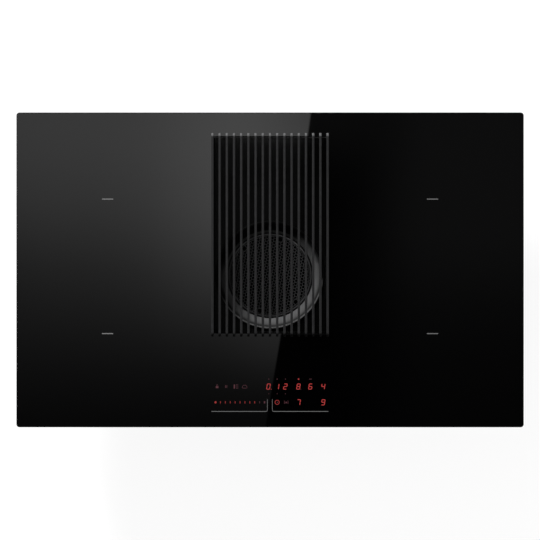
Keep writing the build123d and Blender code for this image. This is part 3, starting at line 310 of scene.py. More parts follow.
def circuit(name):
    """Green board with copper tracks under its solder mask."""
    made, tree, shader = material(name)
    set_base(shader, (0.02, 0.11, 0.04), 0.28)
    where = add_node(tree, "ShaderNodeTexCoord")
    tracks = add_node(tree, "ShaderNodeTexBrick")
    tracks.inputs["Scale"].default_value = 60
    tracks.inputs["Color1"].default_value = (0.015, 0.09, 0.03, 1)
    tracks.inputs["Color2"].default_value = (0.02, 0.12, 0.045, 1)
    tracks.inputs["Mortar"].default_value = (0.05, 0.22, 0.08, 1)
    tree.links.new(where.outputs["Object"], tracks.inputs["Vector"])
    tree.links.new(tracks.outputs["Color"], shader.inputs["Base Color"])
    bump(tree, shader, tracks.outputs["Fac"], FINE_RELIEF, 0.6)
    return made


def pressed_mineral(name, colour, roughness):
    """Ferrite or mica: a pressed powder with visible flecks."""
    made, tree, shader = material(name)
    set_base(shader, colour, roughness)
    flecks = noise(tree, 500, detail=5, roughness=0.7).outputs["Fac"]
    light = tuple(min(1.0, part * 1.35) for part in colour)
    tree.links.new(tint(tree, flecks, colour, light), shader.inputs["Base Color"])
    bump(tree, shader, flecks, 0.04 * MM, 0.5)
    return made


def lit_print(name, colour, strength, body=(0.01, 0.01, 0.01)):
    """Light seen through the glass, or a print on it: even glow on a dark base; on a print the glow is
    painted light.
    """
    made, _tree, shader = material(name)
    set_base(shader, body, 0.3)
    shader.inputs["Specular IOR Level"].default_value = 0.0
    shader.inputs["Emission Color"].default_value = (*colour, 1)
    shader.inputs["Emission Strength"].default_value = strength
    return made


# ---- Glass ----
GLASS_TONE = (0.0002, 0.0002, 0.00025)
# Painted highlight along the front edge of the opening: its rear edge, half its length, its width and its
# tone.
OPENING_FRONT = -104.35 * MM
OPENING_SIDE = 96 * MM
SIDE_BLUR = 2 * MM
OPENING_HIGHLIGHT_WIDTH = 1.3 * MM
OPENING_HIGHLIGHT_BLUR = 0.1 * MM
OPENING_HIGHLIGHT_TONE = (0.012, 0.012, 0.0124)
# Dull chamfer round the glass.
OUTER_BEVEL = 1.0 * MM
OUTER_BLUR = 0.2 * MM


def polished_glass(name):
    """Opaque black glass ceramic: faint wiped streaks, a dull chamfered outer edge, and a painted highlight
    along the front of its opening.
    """
    made, tree, shader = material(name)
    set_base(shader, GLASS_TONE, 0.012)
    shader.inputs["IOR"].default_value = 1.5
    along = place(tree, "Y")
    aside = math_node(tree, "ABSOLUTE", place(tree, "X"))
    # Painted highlight: a pale band just in front of the opening's front edge.
    before = rising(tree, along, OPENING_FRONT - OPENING_HIGHLIGHT_WIDTH - OPENING_HIGHLIGHT_BLUR, OPENING_FRONT - OPENING_HIGHLIGHT_WIDTH)
    behind = falling(tree, along, OPENING_FRONT, OPENING_FRONT + OPENING_HIGHLIGHT_BLUR)
    near = falling(tree, aside, OPENING_SIDE, OPENING_SIDE + SIDE_BLUR)
    edge_highlight = product(tree, before, behind, near)
    tree.links.new(blend_colour(tree, edge_highlight, GLASS_TONE, OPENING_HIGHLIGHT_TONE), shader.inputs["Base Color"])
    inner_x, inner_y = glass_high.x - OUTER_BEVEL, glass_high.y - OUTER_BEVEL
    ends = rising(tree, aside, inner_x, inner_x + OUTER_BLUR)
    sides = rising(tree, math_node(tree, "ABSOLUTE", along), inner_y, inner_y + OUTER_BLUR)
    tree.links.new(math_node(tree, "MAXIMUM", ends, sides), shader.inputs["Metallic"])
    streaks = noise(tree, 14, detail=2, stretch=(1.0, 0.25, 1.0))
    tree.links.new(spread(tree, streaks.outputs["Fac"], 0.006, 0.02), shader.inputs["Roughness"])
    return made


# ---- Grille ----
GRILLE_SHADE_TONE = (0.002, 0.002, 0.002)
REAR_HIGHLIGHT_TONE = (0.11, 0.11, 0.112)
FACE_LIGHT_TONE = (0.03, 0.03, 0.0305)
# Where the zones of painted light and shade on the casting start and are full: the painted shade on the
# skirt from the top down and on the front ends from the front, and the painted highlight on the rear ends
# and the painted light on the skirt's inner rear face from the rear.
SKIRT_TOP = (3.2 * MM, 2.7 * MM)
FRONT_SHADE = (3.0 * MM, 7.0 * MM)
REAR_HIGHLIGHT = (6.0 * MM, 4.2 * MM)
FACE_BACK = (7.9 * MM, 7.6 * MM)
FACE_FRONT = (7.0 * MM, 6.7 * MM)


def cast_enamel(name):
    """Matt black enamel on cast iron: fine pebbled skin, painted shade on the skirt and front ends, painted
    highlights on the rear ends.
    """
    made, tree, shader = material(name)
    set_base(shader, (0.0135, 0.0135, 0.014), 0.4)
    shader.inputs["Specular IOR Level"].default_value = 0.22
    low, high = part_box("suction_grille")
    along = place(tree, "Y")
    # Painted shade on the skirt and front ends, painted highlights on the rear ends, and painted light on
    # the skirt's inner rear face.
    skirt = falling(tree, place(tree, "Z"), high.z - SKIRT_TOP[0], high.z - SKIRT_TOP[1])
    front = falling(tree, along, low.y + FRONT_SHADE[0], low.y + FRONT_SHADE[1])
    rear = rising(tree, along, high.y - REAR_HIGHLIGHT[0], high.y - REAR_HIGHLIGHT[1])
    behind = rising(tree, along, high.y - FACE_BACK[0], high.y - FACE_BACK[1])
    before = falling(tree, along, high.y - FACE_FRONT[0], high.y - FACE_FRONT[1])
    painted_shade = math_node(tree, "MAXIMUM", skirt, front)
    face = product(tree, skirt, behind, before)
    patches = noise(tree, 260, detail=4).outputs["Fac"]
    colour = tint(tree, patches, (0.0105, 0.0105, 0.011), (0.0165, 0.0165, 0.0172))
    colour = blend_colour(tree, rear, colour, REAR_HIGHLIGHT_TONE)
    colour = blend_colour(tree, painted_shade, colour, GRILLE_SHADE_TONE)
    tree.links.new(blend_colour(tree, face, colour, FACE_LIGHT_TONE), shader.inputs["Base Color"])
    # Where the shade is painted, metallic takes its reflection away too.
    tree.links.new(math_node(tree, "SUBTRACT", painted_shade, face, clamp=True), shader.inputs["Metallic"])
    tree.links.new(spread(tree, patches, 0.34, 0.44), shader.inputs["Roughness"])
    bump(tree, shader, noise(tree, 1500, detail=2).outputs["Fac"], 0.06 * MM, 0.6)
    return made


# ---- Funnel ----
FUNNEL_LIT_TONE = (0.205, 0.205, 0.207)
SLOPE_SHADE = (0.004, 0.004, 0.004)
FOOT_HIGHLIGHT_TONE = (0.03, 0.03, 0.0303)
LIP_TONE = (0.01, 0.01, 0.01)
FUNNEL_LIP = 88.5 * MM
FUNNEL_FOOT = 75.2 * MM
# How much painted light falls on the slope at a radius in millimetres: most at its foot and at its lip.
SLOPE_LIGHT = (
    (73.5, 1.0),
    (78.5, 1.0),
    (81.5, 0.8),
    (83.2, 0.35),
    (84.6, 0.12),
    (86.2, 0.12),
    (87.2, 0.95),
    (88.4, 0.95),
    (88.9, 0.0),
)
# How much painted light falls on the foot on the left, from front to rear in millimetres.
LEFT_FOOT_LIGHT = ((-66, 0.3), (-50, 0.8), (-36, 1.0), (-20, 0.85), (-6, 0.8), (8, 0.65), (22, 0.25), (40, 0.0))
LEFT_LIGHT_SHARE = 0.45


def funnel_painted_light(tree, across, along, radius):
    """Share of the painted light: slope at the front right, lip at the front, foot at the left."""
    ahead = math_node(tree, "SUBTRACT", product(tree, across, 0.8), along)
    towards = rising(tree, ahead, -35 * MM, 45 * MM)
    by_radius = smooth_curve(tree, radius, SLOPE_LIGHT, unit=MM)
    below_lip = falling(tree, radius, FUNNEL_LIP - 2.4 * MM, FUNNEL_LIP - 1.8 * MM)
    front_half = falling(tree, along, -22 * MM, -4 * MM)
    painted_light = product(tree, towards, by_radius, math_node(tree, "MAXIMUM", below_lip, front_half))
    left = spread(tree, across, LEFT_LIGHT_SHARE, 0.0, -62 * MM, -50 * MM)
    foot = falling(tree, radius, FUNNEL_FOOT + 0.8 * MM, FUNNEL_FOOT + 10.8 * MM)
    left_foot = product(tree, left, foot, smooth_curve(tree, along, LEFT_FOOT_LIGHT, unit=MM))
    return math_node(tree, "MAXIMUM", painted_light, left_foot)


def funnel_skin(name):
    """Moulded funnel with painted light in grey at its front right and on its left foot, a painted
    highlight round its foot, and a dull black top to its lip.
    """
    made = moulded(name, FUNNEL_LIT_TONE, 0.5)
    tree, shader = shader_parts(made)
    plain = shader.inputs["Base Color"].links[0].from_socket
    across = place(tree, "X")
    along = math_node(tree, "SUBTRACT", place(tree, "Y"), intake_centre.y)
    radius = distance(tree, across, along)
    painted_light = funnel_painted_light(tree, across, along, radius)
    lip = rising(tree, radius, FUNNEL_LIP, FUNNEL_LIP + 0.6 * MM)
    foot = falling(tree, radius, FUNNEL_FOOT, FUNNEL_FOOT + 1.0 * MM)
    # Painted light in grey where the slope faces the lamp, a painted highlight at the foot, near black
    # elsewhere.
    colour = blend_colour(tree, painted_light, blend_colour(tree, foot, SLOPE_SHADE, FOOT_HIGHLIGHT_TONE), plain)
    tree.links.new(blend_colour(tree, lip, colour, LIP_TONE), shader.inputs["Base Color"])
    lively = math_node(tree, "MAXIMUM", rising(tree, painted_light, 0.0, 0.25), foot)
    dull = math_node(tree, "SUBTRACT", 1.0, lively)
    tree.links.new(math_node(tree, "MAXIMUM", lip, dull), shader.inputs["Metallic"])
    return made


# ---- Well and filter ----
# Painted light on the well's floor: its tone along it, and what is added across it, by place in
# millimetres.
WELL_LIGHT_ALONG = (
    (0, 0.0035),
    (125, 0.0045),
    (142, 0.0055),
    (152, 0.0075),
    (163, 0.0105),
    (174, 0.014),
    (187, 0.0185),
    (200, 0.026),
    (211, 0.038),
    (217, 0.085),
    (223, 0.06),
    (232, 0.055),
)
WELL_LIGHT_ACROSS = (
    (-106, 0.018),
    (-88, 0.015),
    (-76, 0.0095),
    (-65, 0.0065),
    (-53, 0.0025),
    (-41, 0.0003),
    (-25, 0.0),
)
WELL_SHADE = 0.38


def well_skin(name):
    """Black well with painted light, palest at its rear and its left, and darker past the line where the
    glass is dark too, as a painted reflection.
    """
    made = moulded(name, (0.004, 0.004, 0.0042), 0.6, sheen=0.04)
    tree, shader = shader_parts(made)
    across, along = place(tree, "X"), place(tree, "Y")
    by_length = smooth_curve(tree, along, WELL_LIGHT_ALONG, 0.1, MM)
    by_width = smooth_curve(tree, across, WELL_LIGHT_ACROSS, 0.1, MM)
    # Painted reflection: the floor is darker past the line where the bright reflection on the glass ends.
    shade = spread(tree, past_edge(tree, across, along), 1.0, WELL_SHADE, -10 * MM, 12 * MM)
    tone = product(tree, math_node(tree, "ADD", by_length, by_width), shade)
    tree.links.new(tone, shader.inputs["Base Color"])
    return made


STEEL_TONE = (0.125, 0.125, 0.128)
# How much painted light the filter's steel gets from left to right, in millimetres.
STEEL_LIGHT_ACROSS = (
    (-72, 0.2),
    (-64, 0.3),
    (-56, 0.75),
    (-40, 0.76),
    (0, 0.7),
    (15, 0.85),
    (30, 1.15),
    (45, 1.45),
    (56, 1.55),
    (64, 1.0),
    (72, 0.8),
)


def steel_with_painted_light(name):
    """Stainless honeycomb with painted light: darker at its left, paler towards its right."""
    made = worked_metal(name, STEEL_TONE, 0.45)
    tree, shader = shader_parts(made)
    plain = shader.inputs["Base Color"].links[0].from_socket
    scaled = add_node(tree, "ShaderNodeVectorMath", operation="SCALE")
    tree.links.new(plain, scaled.inputs["Vector"])
    tree.links.new(smooth_curve(tree, place(tree, "X"), STEEL_LIGHT_ACROSS, 2.0, MM), scaled.inputs["Scale"])
    tree.links.new(scaled.outputs["Vector"], shader.inputs["Base Color"])
    return made


# ---- Looks by material slot ----
SLOT_MAKERS = {
    "black_glass": polished_glass,
    "cast_black": cast_enamel,
    "rubber_black": soft_rubber,
    "well_plastic": well_skin,
    "funnel_plastic": funnel_skin,
    "filter_black": lambda name: moulded(name, (0.0045, 0.0045, 0.0045), 0.5, sheen=0.1),
    "filter_steel": steel_with_painted_light,
    "galvanised_steel": spangled_zinc,
    "zinc_screw": lambda name: worked_metal(name, (0.62, 0.61, 0.57), 0.3),
    "casing_plastic": lambda name: moulded(name, (0.03, 0.03, 0.032), 0.42),
    "grey_plastic": lambda name: moulded(name, (0.16, 0.165, 0.17), 0.45),
    "gland_plastic": lambda name: moulded(name, (0.06, 0.06, 0.063), 0.4),
    "white_plastic": lambda name: moulded(name, (0.7, 0.69, 0.64), 0.45),
    "coil_winding": litz_winding,
    "ferrite": lambda name: pressed_mineral(name, (0.05, 0.05, 0.055), 0.6),
    "mica": lambda name: pressed_mineral(name, (0.55, 0.48, 0.36), 0.5),
    "aluminium_sheet": lambda name: worked_metal(name, (0.78, 0.79, 0.8), 0.3),
    "spring_steel": lambda name: worked_metal(name, (0.55, 0.55, 0.56), 0.25),
    "circuit_board": circuit,
    "component_black": lambda name: moulded(name, (0.03, 0.03, 0.035), 0.35),
    "display_red": lambda name: moulded(name, (0.3, 0.03, 0.025), 0.3),
    "fan_plastic": lambda name: moulded(name, (0.03, 0.03, 0.03), 0.4),
    "rotor_steel": lambda name: worked_metal(name, (0.3, 0.3, 0.31), 0.35),
    "impeller_plastic": lambda name: moulded(name, (0.004, 0.004, 0.004), 0.7, sheen=0.02),
}
looks = {slot: make(slot) for slot, make in SLOT_MAKERS.items()}


def dress_nodes():
    """Gives every CAD node the look of its slot, and the shaft a blackened one."""
    shaft = worked_metal("blackened_shaft", (0.03, 0.03, 0.03), 0.5)
    for name, node in frame["nodes"].items():
        node.data.materials.clear()
        node.data.materials.append(shaft if name == "motor_shaft" else looks[slot_of[name]])


# ---- Mesh helpers ----
def piece(name, mesh_data, look, body="chassis"):
    """Links a finished mesh as a piece that rides on a body."""
    mesh = bpy.data.meshes.new(name)
    mesh_data.to_mesh(mesh)
    mesh_data.free()
    made = bpy.data.objects.new(name, mesh)
    bpy.context.scene.collection.objects.link(made)
    mesh.materials.append(look)
    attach(made, body)
    return made


def prism(mesh, outline, low, high):
    """Closed prism on a plan outline, given anticlockwise."""
    lower = [mesh.verts.new((x, y, low)) for x, y in outline]
    upper = [mesh.verts.new((x, y, high)) for x, y in outline]
    mesh.faces.new(list(reversed(lower)))
    mesh.faces.new(upper)
    count = len(outline)
    for index in range(count):
        after = (index + 1) % count
        mesh.faces.new((lower[index], lower[after], upper[after], upper[index]))


def ring_prism(mesh, outer, inner, low, high):
    """Closed flat ring between two outlines with as many points each."""
    count = len(outer)
    rows = []
    for outline, height in ((outer, low), (outer, high), (inner, high), (inner, low)):
        rows.append([mesh.verts.new((x, y, height)) for x, y in outline])
    for index, first in enumerate(rows):
        second = rows[(index + 1) % len(rows)]
        for corner in range(count):
            after = (corner + 1) % count
            mesh.faces.new((first[corner], first[after], second[after], second[corner]))


def circle(centre, radius, count=24, start=0.0):
    """Points round a circle."""
    points = []
    for index in range(count):
        turn = start + 2 * math.pi * index / count
        points.append((centre[0] + radius * math.cos(turn), centre[1] + radius * math.sin(turn)))
    return points


def rounded(centre, width, depth, radius, steps=5):
    """Points round a rectangle with rounded corners."""
    points = []
    corners = ((1, 1, 0), (-1, 1, 90), (-1, -1, 180), (1, -1, 270))
    for side_x, side_y, start in corners:
        middle_x = centre[0] + side_x * (width / 2 - radius)
        middle_y = centre[1] + side_y * (depth / 2 - radius)
        for step in range(steps + 1):
            turn = math.radians(start + 90 * step / steps)
            points.append((middle_x + radius * math.cos(turn), middle_y + radius * math.sin(turn)))
    return points


# ---- Marks on the glass ----
MARK_FLOAT = 0.02 * MM
MARK_THICKNESS = 0.04 * MM
mark_low = surface + MARK_FLOAT
mark_high = mark_low + MARK_THICKNESS


def stroke(mesh, start, stop, width):
    """Straight stroke with pointed ends, as a display segment or a line."""
    first, last = Vector(start), Vector(stop)
    tip = (last - first).normalized() * width / 2
    across = Vector((-tip.y, tip.x))
    outline = (first - tip, first - across, last - across, last + tip, last + across, first + across)
    prism(mesh, [(point.x, point.y) for point in outline], mark_low, mark_high)


def bars(mesh, row_y, *marks):
    """Rectangular marks in a row, each as x, rise over the row, width and depth in millimetres."""
    for x, rise, width, depth in marks:
        middle_x, middle_y = x * MM, row_y + rise * MM
        half_x, half_y = width * MM / 2, depth * MM / 2
        corners = ((-1, -1), (1, -1), (1, 1), (-1, 1))
        outline = [(middle_x + right * half_x, middle_y + up * half_y) for right, up in corners]
        prism(mesh, outline, mark_low, mark_high)


def dots(mesh, row_y, *marks):
    """Round marks in a row, each as x, rise over the row, radius in millimetres and number of sides."""
    for x, rise, radius, sides in marks:
        prism(mesh, circle((x * MM, row_y + rise * MM), radius * MM, sides), mark_low, mark_high)


# Rows of the touch control, from the rear to the front.
DOT_ROW_Y = -178.6 * MM
UPPER_ROW_Y = -190.8 * MM
LOW_DOT_ROW_Y = -202.6 * MM
LOWER_ROW_Y = -216.6 * MM

DIGIT_HEIGHT = 8.6 * MM
DIGIT_WIDTH = 5.0 * MM
DIGIT_STROKE = 1.2 * MM
DIGIT_INSET = 0.56 * MM
DIGIT_SLANT = math.tan(math.radians(9))
# Ends of each segment, as steps to the right and up from the figure's middle.
SEGMENT_ENDS = {
    "a": ((-1, 1), (1, 1)),
    "b": ((1, 1), (1, 0)),
    "c": ((1, 0), (1, -1)),
    "d": ((-1, -1), (1, -1)),
    "e": ((-1, 0), (-1, -1)),
    "f": ((-1, 1), (-1, 0)),
    "g": ((-1, 0), (1, 0)),
}
SEGMENTS = {
    "0": "abcdef",
    "1": "bc",
    "2": "abged",
    "4": "fgbc",
    "6": "afgcde",
    "7": "abc",
    "8": "abcdefg",
    "9": "abfgcd",
}
# Figures and the x of their middles in millimetres, by row.
UPPER_FIGURES = (("0", -2.6), ("1", 11.7), ("2", 25.0), ("8", 46.4), ("6", 66.0), ("4", 86.9))
LOWER_FIGURES = (("7", 46.7), ("9", 86.9))
# Point after the nought, in the form that dots takes.
POINT = (1.9, -4.4, 0.6, 12)


def digit(mesh, figure, centre):
    """Slanted seven-segment figure."""
    for name in SEGMENTS[figure]:
        spots = []
        for right, up in SEGMENT_ENDS[name]:
            rise = up * DIGIT_HEIGHT / 2
            shift = right * DIGIT_WIDTH / 2 + rise * DIGIT_SLANT
            spots.append(Vector((centre[0] + shift, centre[1] + rise)))
        inset = (spots[1] - spots[0]).normalized() * DIGIT_INSET
        stroke(mesh, spots[0] + inset, spots[1] - inset, DIGIT_STROKE)


def display_digits():
    """Red figures of the power and timer displays, with a point after the nought."""
    mesh = bmesh.new()
    for row_y, figures in ((UPPER_ROW_Y, UPPER_FIGURES), (LOWER_ROW_Y, LOWER_FIGURES)):
        for figure, x in figures:
            digit(mesh, figure, (x * MM, row_y))
    dots(mesh, UPPER_ROW_Y, POINT)
    return mesh


# Lamps and symbols, in the forms that bars and dots take.
TIMER_LAMP = (46.6, 0.0, 1.3, 16)
SLIDER_LAMP = (-89.2, 0.0, 1.8, 20)
# The slider's scale: eight lit ticks, then two faint ones.
TICKS = tuple((-81.2 + 8.02 * index, 0.0, 0.95, 3.6) for index in range(8))
DIM_TICKS = ((-17.04, 0.0, 0.8, 3.2), (-9.02, 0.0, 2.2, 3.4))
RING_CENTRE = (11.6 * MM, LOWER_ROW_Y)
RING_RADII = (3.9 * MM, 3.0 * MM)
RING_SIDES = 32


def display_dots():
    """Lamp over the figures, and the slider's lamp, scale and ring."""
    mesh = bmesh.new()
    dots(mesh, DOT_ROW_Y, TIMER_LAMP)
    dots(mesh, LOWER_ROW_Y, SLIDER_LAMP)
    bars(mesh, LOWER_ROW_Y, *TICKS)
    outer, inner = [circle(RING_CENTRE, radius, RING_SIDES) for radius in RING_RADII]
    ring_prism(mesh, outer, inner, mark_low, mark_high)
    return mesh


SHACKLE_CENTRE = (-86.6 * MM, UPPER_ROW_Y + 1.5 * MM)
# Width, depth and corner radius of the shackle's outer and inner outline.
SHACKLE_OUTER = (3.0 * MM, 3.4 * MM, 1.4 * MM)
SHACKLE_INNER = (1.9 * MM, 2.4 * MM, 0.9 * MM)
LOCK_BODY = (-86.6, -1.0, 4.3, 3.2)
PAUSE = ((-72.9, 0.0, 0.9, 4.2), (-70.7, 0.0, 0.9, 4.2))
# The zone link: a block, and small squares in columns and rows beside it.
LINK_BLOCK = (-58.4, 0.0, 2.2, 6.6)
LINK_SQUARES = tuple((x, rise, 1.0, 1.0) for x in (-55.0, -52.8) for rise in (-2.8, -0.9, 1.0, 2.9))
HOOD_CENTRE = (-41.6 * MM, UPPER_ROW_Y - 0.2 * MM)
HOOD_STROKE = 0.6 * MM
# Corners of the hood symbol, in millimetres from its middle.
HOOD_OUTLINE = ((-2.0, 2.4), (2.0, 2.4), (4.2, -0.8), (3.0, -2.4), (-3.0, -2.4), (-4.2, -0.8))
SMALL_LAMPS = tuple((x, 0.0, 0.75, 10) for x in (-2.1, 11.6, 25.2))
SMALL_LOW_LAMPS = tuple((x, 0.0, 0.6, 10) for x in (-2.1, 11.6, 25.2))
DIM_DASH = (66.2, 0.0, 4.6, 0.8)
DIM_POINT = (50.2, -4.6, 0.6, 12)
TIMER_BARS = ((23.4, 0.0, 0.6, 5.4), (29.4, 0.0, 0.6, 5.4))
TIMER_ARROW_CENTRE = (26.4 * MM, LOWER_ROW_Y - 0.4 * MM)
TIMER_ARROW_RADIUS = 2.0 * MM
RING_MIDDLE = (11.9, 0.0, 0.9, 12)


def outline_strokes(mesh, centre, corners, width):
    """Closed outline of straight strokes round a centre."""
    spots = [(centre[0] + x * MM, centre[1] + y * MM) for x, y in corners]
    for index, spot in enumerate(spots):
        stroke(mesh, spot, spots[(index + 1) % len(spots)], width)


def dim_icons():
    """Unlit and faintly lit symbols: lock, pause, zone link, hood, timer and small lamps."""
    mesh = bmesh.new()
    outer, inner = rounded(SHACKLE_CENTRE, *SHACKLE_OUTER), rounded(SHACKLE_CENTRE, *SHACKLE_INNER)
    ring_prism(mesh, outer, inner, mark_low, mark_high)
    bars(mesh, UPPER_ROW_Y, LOCK_BODY, *PAUSE, LINK_BLOCK, *LINK_SQUARES)
    outline_strokes(mesh, HOOD_CENTRE, HOOD_OUTLINE, HOOD_STROKE)
    dots(mesh, DOT_ROW_Y, *SMALL_LAMPS)
    dots(mesh, LOW_DOT_ROW_Y, *SMALL_LOW_LAMPS)
    bars(mesh, DOT_ROW_Y, DIM_DASH)
    dots(mesh, UPPER_ROW_Y, DIM_POINT)
    bars(mesh, LOWER_ROW_Y, *DIM_TICKS, *TIMER_BARS)
    arrow = circle(TIMER_ARROW_CENTRE, TIMER_ARROW_RADIUS, 3, math.radians(90))
    prism(mesh, arrow, mark_low, mark_high)
    dots(mesh, LOWER_ROW_Y, RING_MIDDLE)
    return mesh


LINE_WIDTH = 0.95 * MM
UPRIGHT_WIDTH = 0.65 * MM
LINE_Y = -231.5 * MM
LINE_TOP_Y = -211.4 * MM
LINE_CORNER = 2.4 * MM
LINE_STEPS = 8
# Outer end and upright of each printed line.
PANEL_LINES = ((-95.9 * MM, -4.4 * MM), (95.3 * MM, 3.7 * MM))


def line_path(outer_x, inner_x):
    """Middle of a line along the front that turns up round a corner."""
    way = 1 if inner_x > outer_x else -1
    path = [(outer_x, LINE_Y)]
    centre = (inner_x - way * LINE_CORNER, LINE_Y + LINE_CORNER)
    for step in range(LINE_STEPS + 1):
        turn = math.radians(90 * step / LINE_STEPS)
        across, down = LINE_CORNER * math.sin(turn), LINE_CORNER * math.cos(turn)
        path.append((centre[0] + way * across, centre[1] - down))
    path.append((inner_x, LINE_TOP_Y))
    return path


def line_sides(path):
    """Points along both sides of a path, nearer to each other on its upright."""
    left, right = [], []
    for index, spot in enumerate(path):
        before = Vector(path[max(index - 1, 0)])
        after = Vector(path[min(index + 1, len(path) - 1)])
        along = (after - before).normalized()
        width = LINE_WIDTH - (LINE_WIDTH - UPRIGHT_WIDTH) * abs(along.y)
        side = Vector((-along.y, along.x)) * width / 2
        left.append((spot[0] + side.x, spot[1] + side.y))
        right.append((spot[0] - side.x, spot[1] - side.y))
    return left, right


def bent_line(mesh, outer_x, inner_x):
    """Line along the front that turns up with a rounded corner."""
    left, right = line_sides(line_path(outer_x, inner_x))
    low = [mesh.verts.new((x, y, mark_low)) for x, y in left + right[::-1]]
    high = [mesh.verts.new((x, y, mark_high)) for x, y in left + right[::-1]]
    total = len(low)
    for index in range(len(left) - 1):
        other = total - 1 - index
        mesh.faces.new((low[index], low[index + 1], low[other - 1], low[other]))
        mesh.faces.new((high[other], high[other - 1], high[index + 1], high[index]))
    for index in range(total):
        after = (index + 1) % total
        mesh.faces.new((low[after], low[index], high[index], high[after]))


def panel_lines():
    """Grey printed lines that frame the touch control."""
    mesh = bmesh.new()
    for outer_x, inner_x in PANEL_LINES:
        bent_line(mesh, outer_x, inner_x)
    return mesh


ZONE_X = 265.75
ZONE_ROWS = (115.8 * MM, -104.2 * MM)
ZONE_MARK = (18.2, 1.5)


def zone_marks(side):
    """Printed dashes in the middle of the two cooking zones of one side."""
    mesh = bmesh.new()
    for row_y in ZONE_ROWS:
        bars(mesh, row_y, (side * ZONE_X, 0.0, *ZONE_MARK))
    return mesh


RED = (1.0, 0.095, 0.09)
DIM_RED = (1.0, 0.32, 0.42)
GREY_PRINT = (0.5, 0.5, 0.5)
# Plain tones of the prints under their glow, which on a print is painted light.
GREY_BODY = (0.128, 0.128, 0.128)
ZONE_BODY = (0.173, 0.173, 0.173)


def add_marks():
    """All marks of the glass, each as its own thin piece."""
    bright = lit_print("display_glow", RED, 0.42)
    middle = lit_print("lamp_glow", RED, 0.3)
    dim = lit_print("icon_glow", DIM_RED, 0.078)
    printed = lit_print("grey_print", GREY_PRINT, 0.03, GREY_BODY)
    # The left zone marks are paler and glow more than the right ones: painted light and shade on one print.
    zone_print = lit_print("zone_print", GREY_PRINT, 0.04, ZONE_BODY)
    zone_print_shaded = lit_print("zone_print_shaded", GREY_PRINT, 0.035, GREY_BODY)
    piece("display_digits", display_digits(), bright)
    piece("display_dots", display_dots(), middle)
    piece("touch_icons", dim_icons(), dim)
    piece("panel_lines", panel_lines(), printed)
    piece("zone_marks_left", zone_marks(-1), zone_print)
    piece("zone_marks_right", zone_marks(1), zone_print_shaded)


# ---- Grease filter mesh ----
MESH_PITCH = 5.2 * MM
MESH_WEB = 0.6 * MM
MESH_ANGLE = math.radians(18)
MESH_RIM = 2.0 * MM
MESH_SINK = 0.1 * MM
# How far a cell's middle may pass under the rim, as a share of the cell's radius.
RIM_MARGIN = 0.2
# How far inside the rim's outer edge the web ends.
RIM_INSET = 0.15 * MM
RIM_SIDES = 96
# Corners nearer to each other than this are one.
CORNER_GRID = 0.05 * MM
NOTCH_COUNT = 6
NOTCH_ANGLE = 14.0
NOTCH_RADIUS = 63.0 * MM
NOTCH_WIDTH = 7.5 * MM
NOTCH_DEPTH = 8.0 * MM
NOTCH_EDGE = 0.7 * MM
NOTCH_REACH = 1.2 * MM
NOTCH_DROP = 0.5 * MM
# Draws a notch's inner outline in, so that its outward side doesn't lie on that of the outer one.
NOTCH_DRAW = 0.999


def notch_frames():
    """Centre, outward and sideways directions of each notch."""
    notches = []
    for index in range(NOTCH_COUNT):
        turn = math.radians(NOTCH_ANGLE + 360 * index / NOTCH_COUNT)
        outward = Vector((math.cos(turn), math.sin(turn)))
        notches.append((outward * NOTCH_RADIUS, outward, Vector((-outward.y, outward.x))))
    return notches


def in_notch(spot, notches):
    """Whether a place lies in one of the notches."""
    for centre, outward, sideways in notches:
        away = spot - centre
        deep = abs(away.dot(outward)) < NOTCH_DEPTH / 2 + NOTCH_REACH
        if deep and abs(away.dot(sideways)) < NOTCH_WIDTH / 2 + NOTCH_REACH:
            return True
    return False


def cell_centres(radius, notches):
    """Middles of the whole cells on the turned grid, inside the rim and outside the notches."""
    reach = 2 * (int(radius / MESH_PITCH) + 2)
    limit = radius - MESH_RIM + RIM_MARGIN * MESH_PITCH / math.sqrt(3)
    centres = []
    for row in range(-reach, reach + 1):
        for column in range(-reach, reach + 1):
            across = MESH_PITCH * (column + row / 2)
            along = MESH_PITCH * row * math.sqrt(3) / 2
            x = across * math.cos(MESH_ANGLE) - along * math.sin(MESH_ANGLE)
            y = across * math.sin(MESH_ANGLE) + along * math.cos(MESH_ANGLE)
            centre = Vector((x, y))
            if centre.length <= limit and not in_notch(centre, notches):
                centres.append(centre)
    return centres


def add_cells(mesh, centres):
    """Flat web round each cell, joined to its neighbours at their shared corners."""
    shared = {}

    def corner(x, y):
        key = (round(x / CORNER_GRID), round(y / CORNER_GRID))
        if key not in shared:
            shared[key] = mesh.verts.new((x, y, 0))
        return shared[key]

    cell = MESH_PITCH / math.sqrt(3)
    hole = (MESH_PITCH - MESH_WEB) / math.sqrt(3)
    for centre in centres:
        outer, inner = [], []
        for side in range(6):
            turn = MESH_ANGLE + math.radians(30 + 60 * side)
            right, up = math.cos(turn), math.sin(turn)
            outer.append(corner(centre.x + cell * right, centre.y + cell * up))
            inner.append(mesh.verts.new((centre.x + hole * right, centre.y + hole * up, 0)))
        for side in range(6):
            after = (side + 1) % 6
            mesh.faces.new((outer[side], outer[after], inner[after], inner[side]))


def thicken(mesh, low, high):
    """Turns a flat sheet into a closed one between two levels."""
    bmesh.ops.recalc_face_normals(mesh, faces=mesh.faces)
    made = bmesh.ops.extrude_face_region(mesh, geom=mesh.faces[:])
    raised = [item for item in made["geom"] if isinstance(item, bmesh.types.BMVert)]
    for vert in mesh.verts:
        vert.co.z = low
    for vert in raised:
        vert.co.z = high


def notch_outline(notch, grow):
    """Corners of a notch, grown on all sides but the outward one."""
    centre, outward, sideways = notch
    outline = []
    for deep, wide in ((-1, -1), (1, -1), (1, 1), (-1, 1)):
        reach = NOTCH_DEPTH / 2 + (grow if deep < 0 else 0.0)
        spot = centre + outward * deep * reach + sideways * wide * (NOTCH_WIDTH / 2 + grow)
        outline.append((spot.x, spot.y))
    return outline


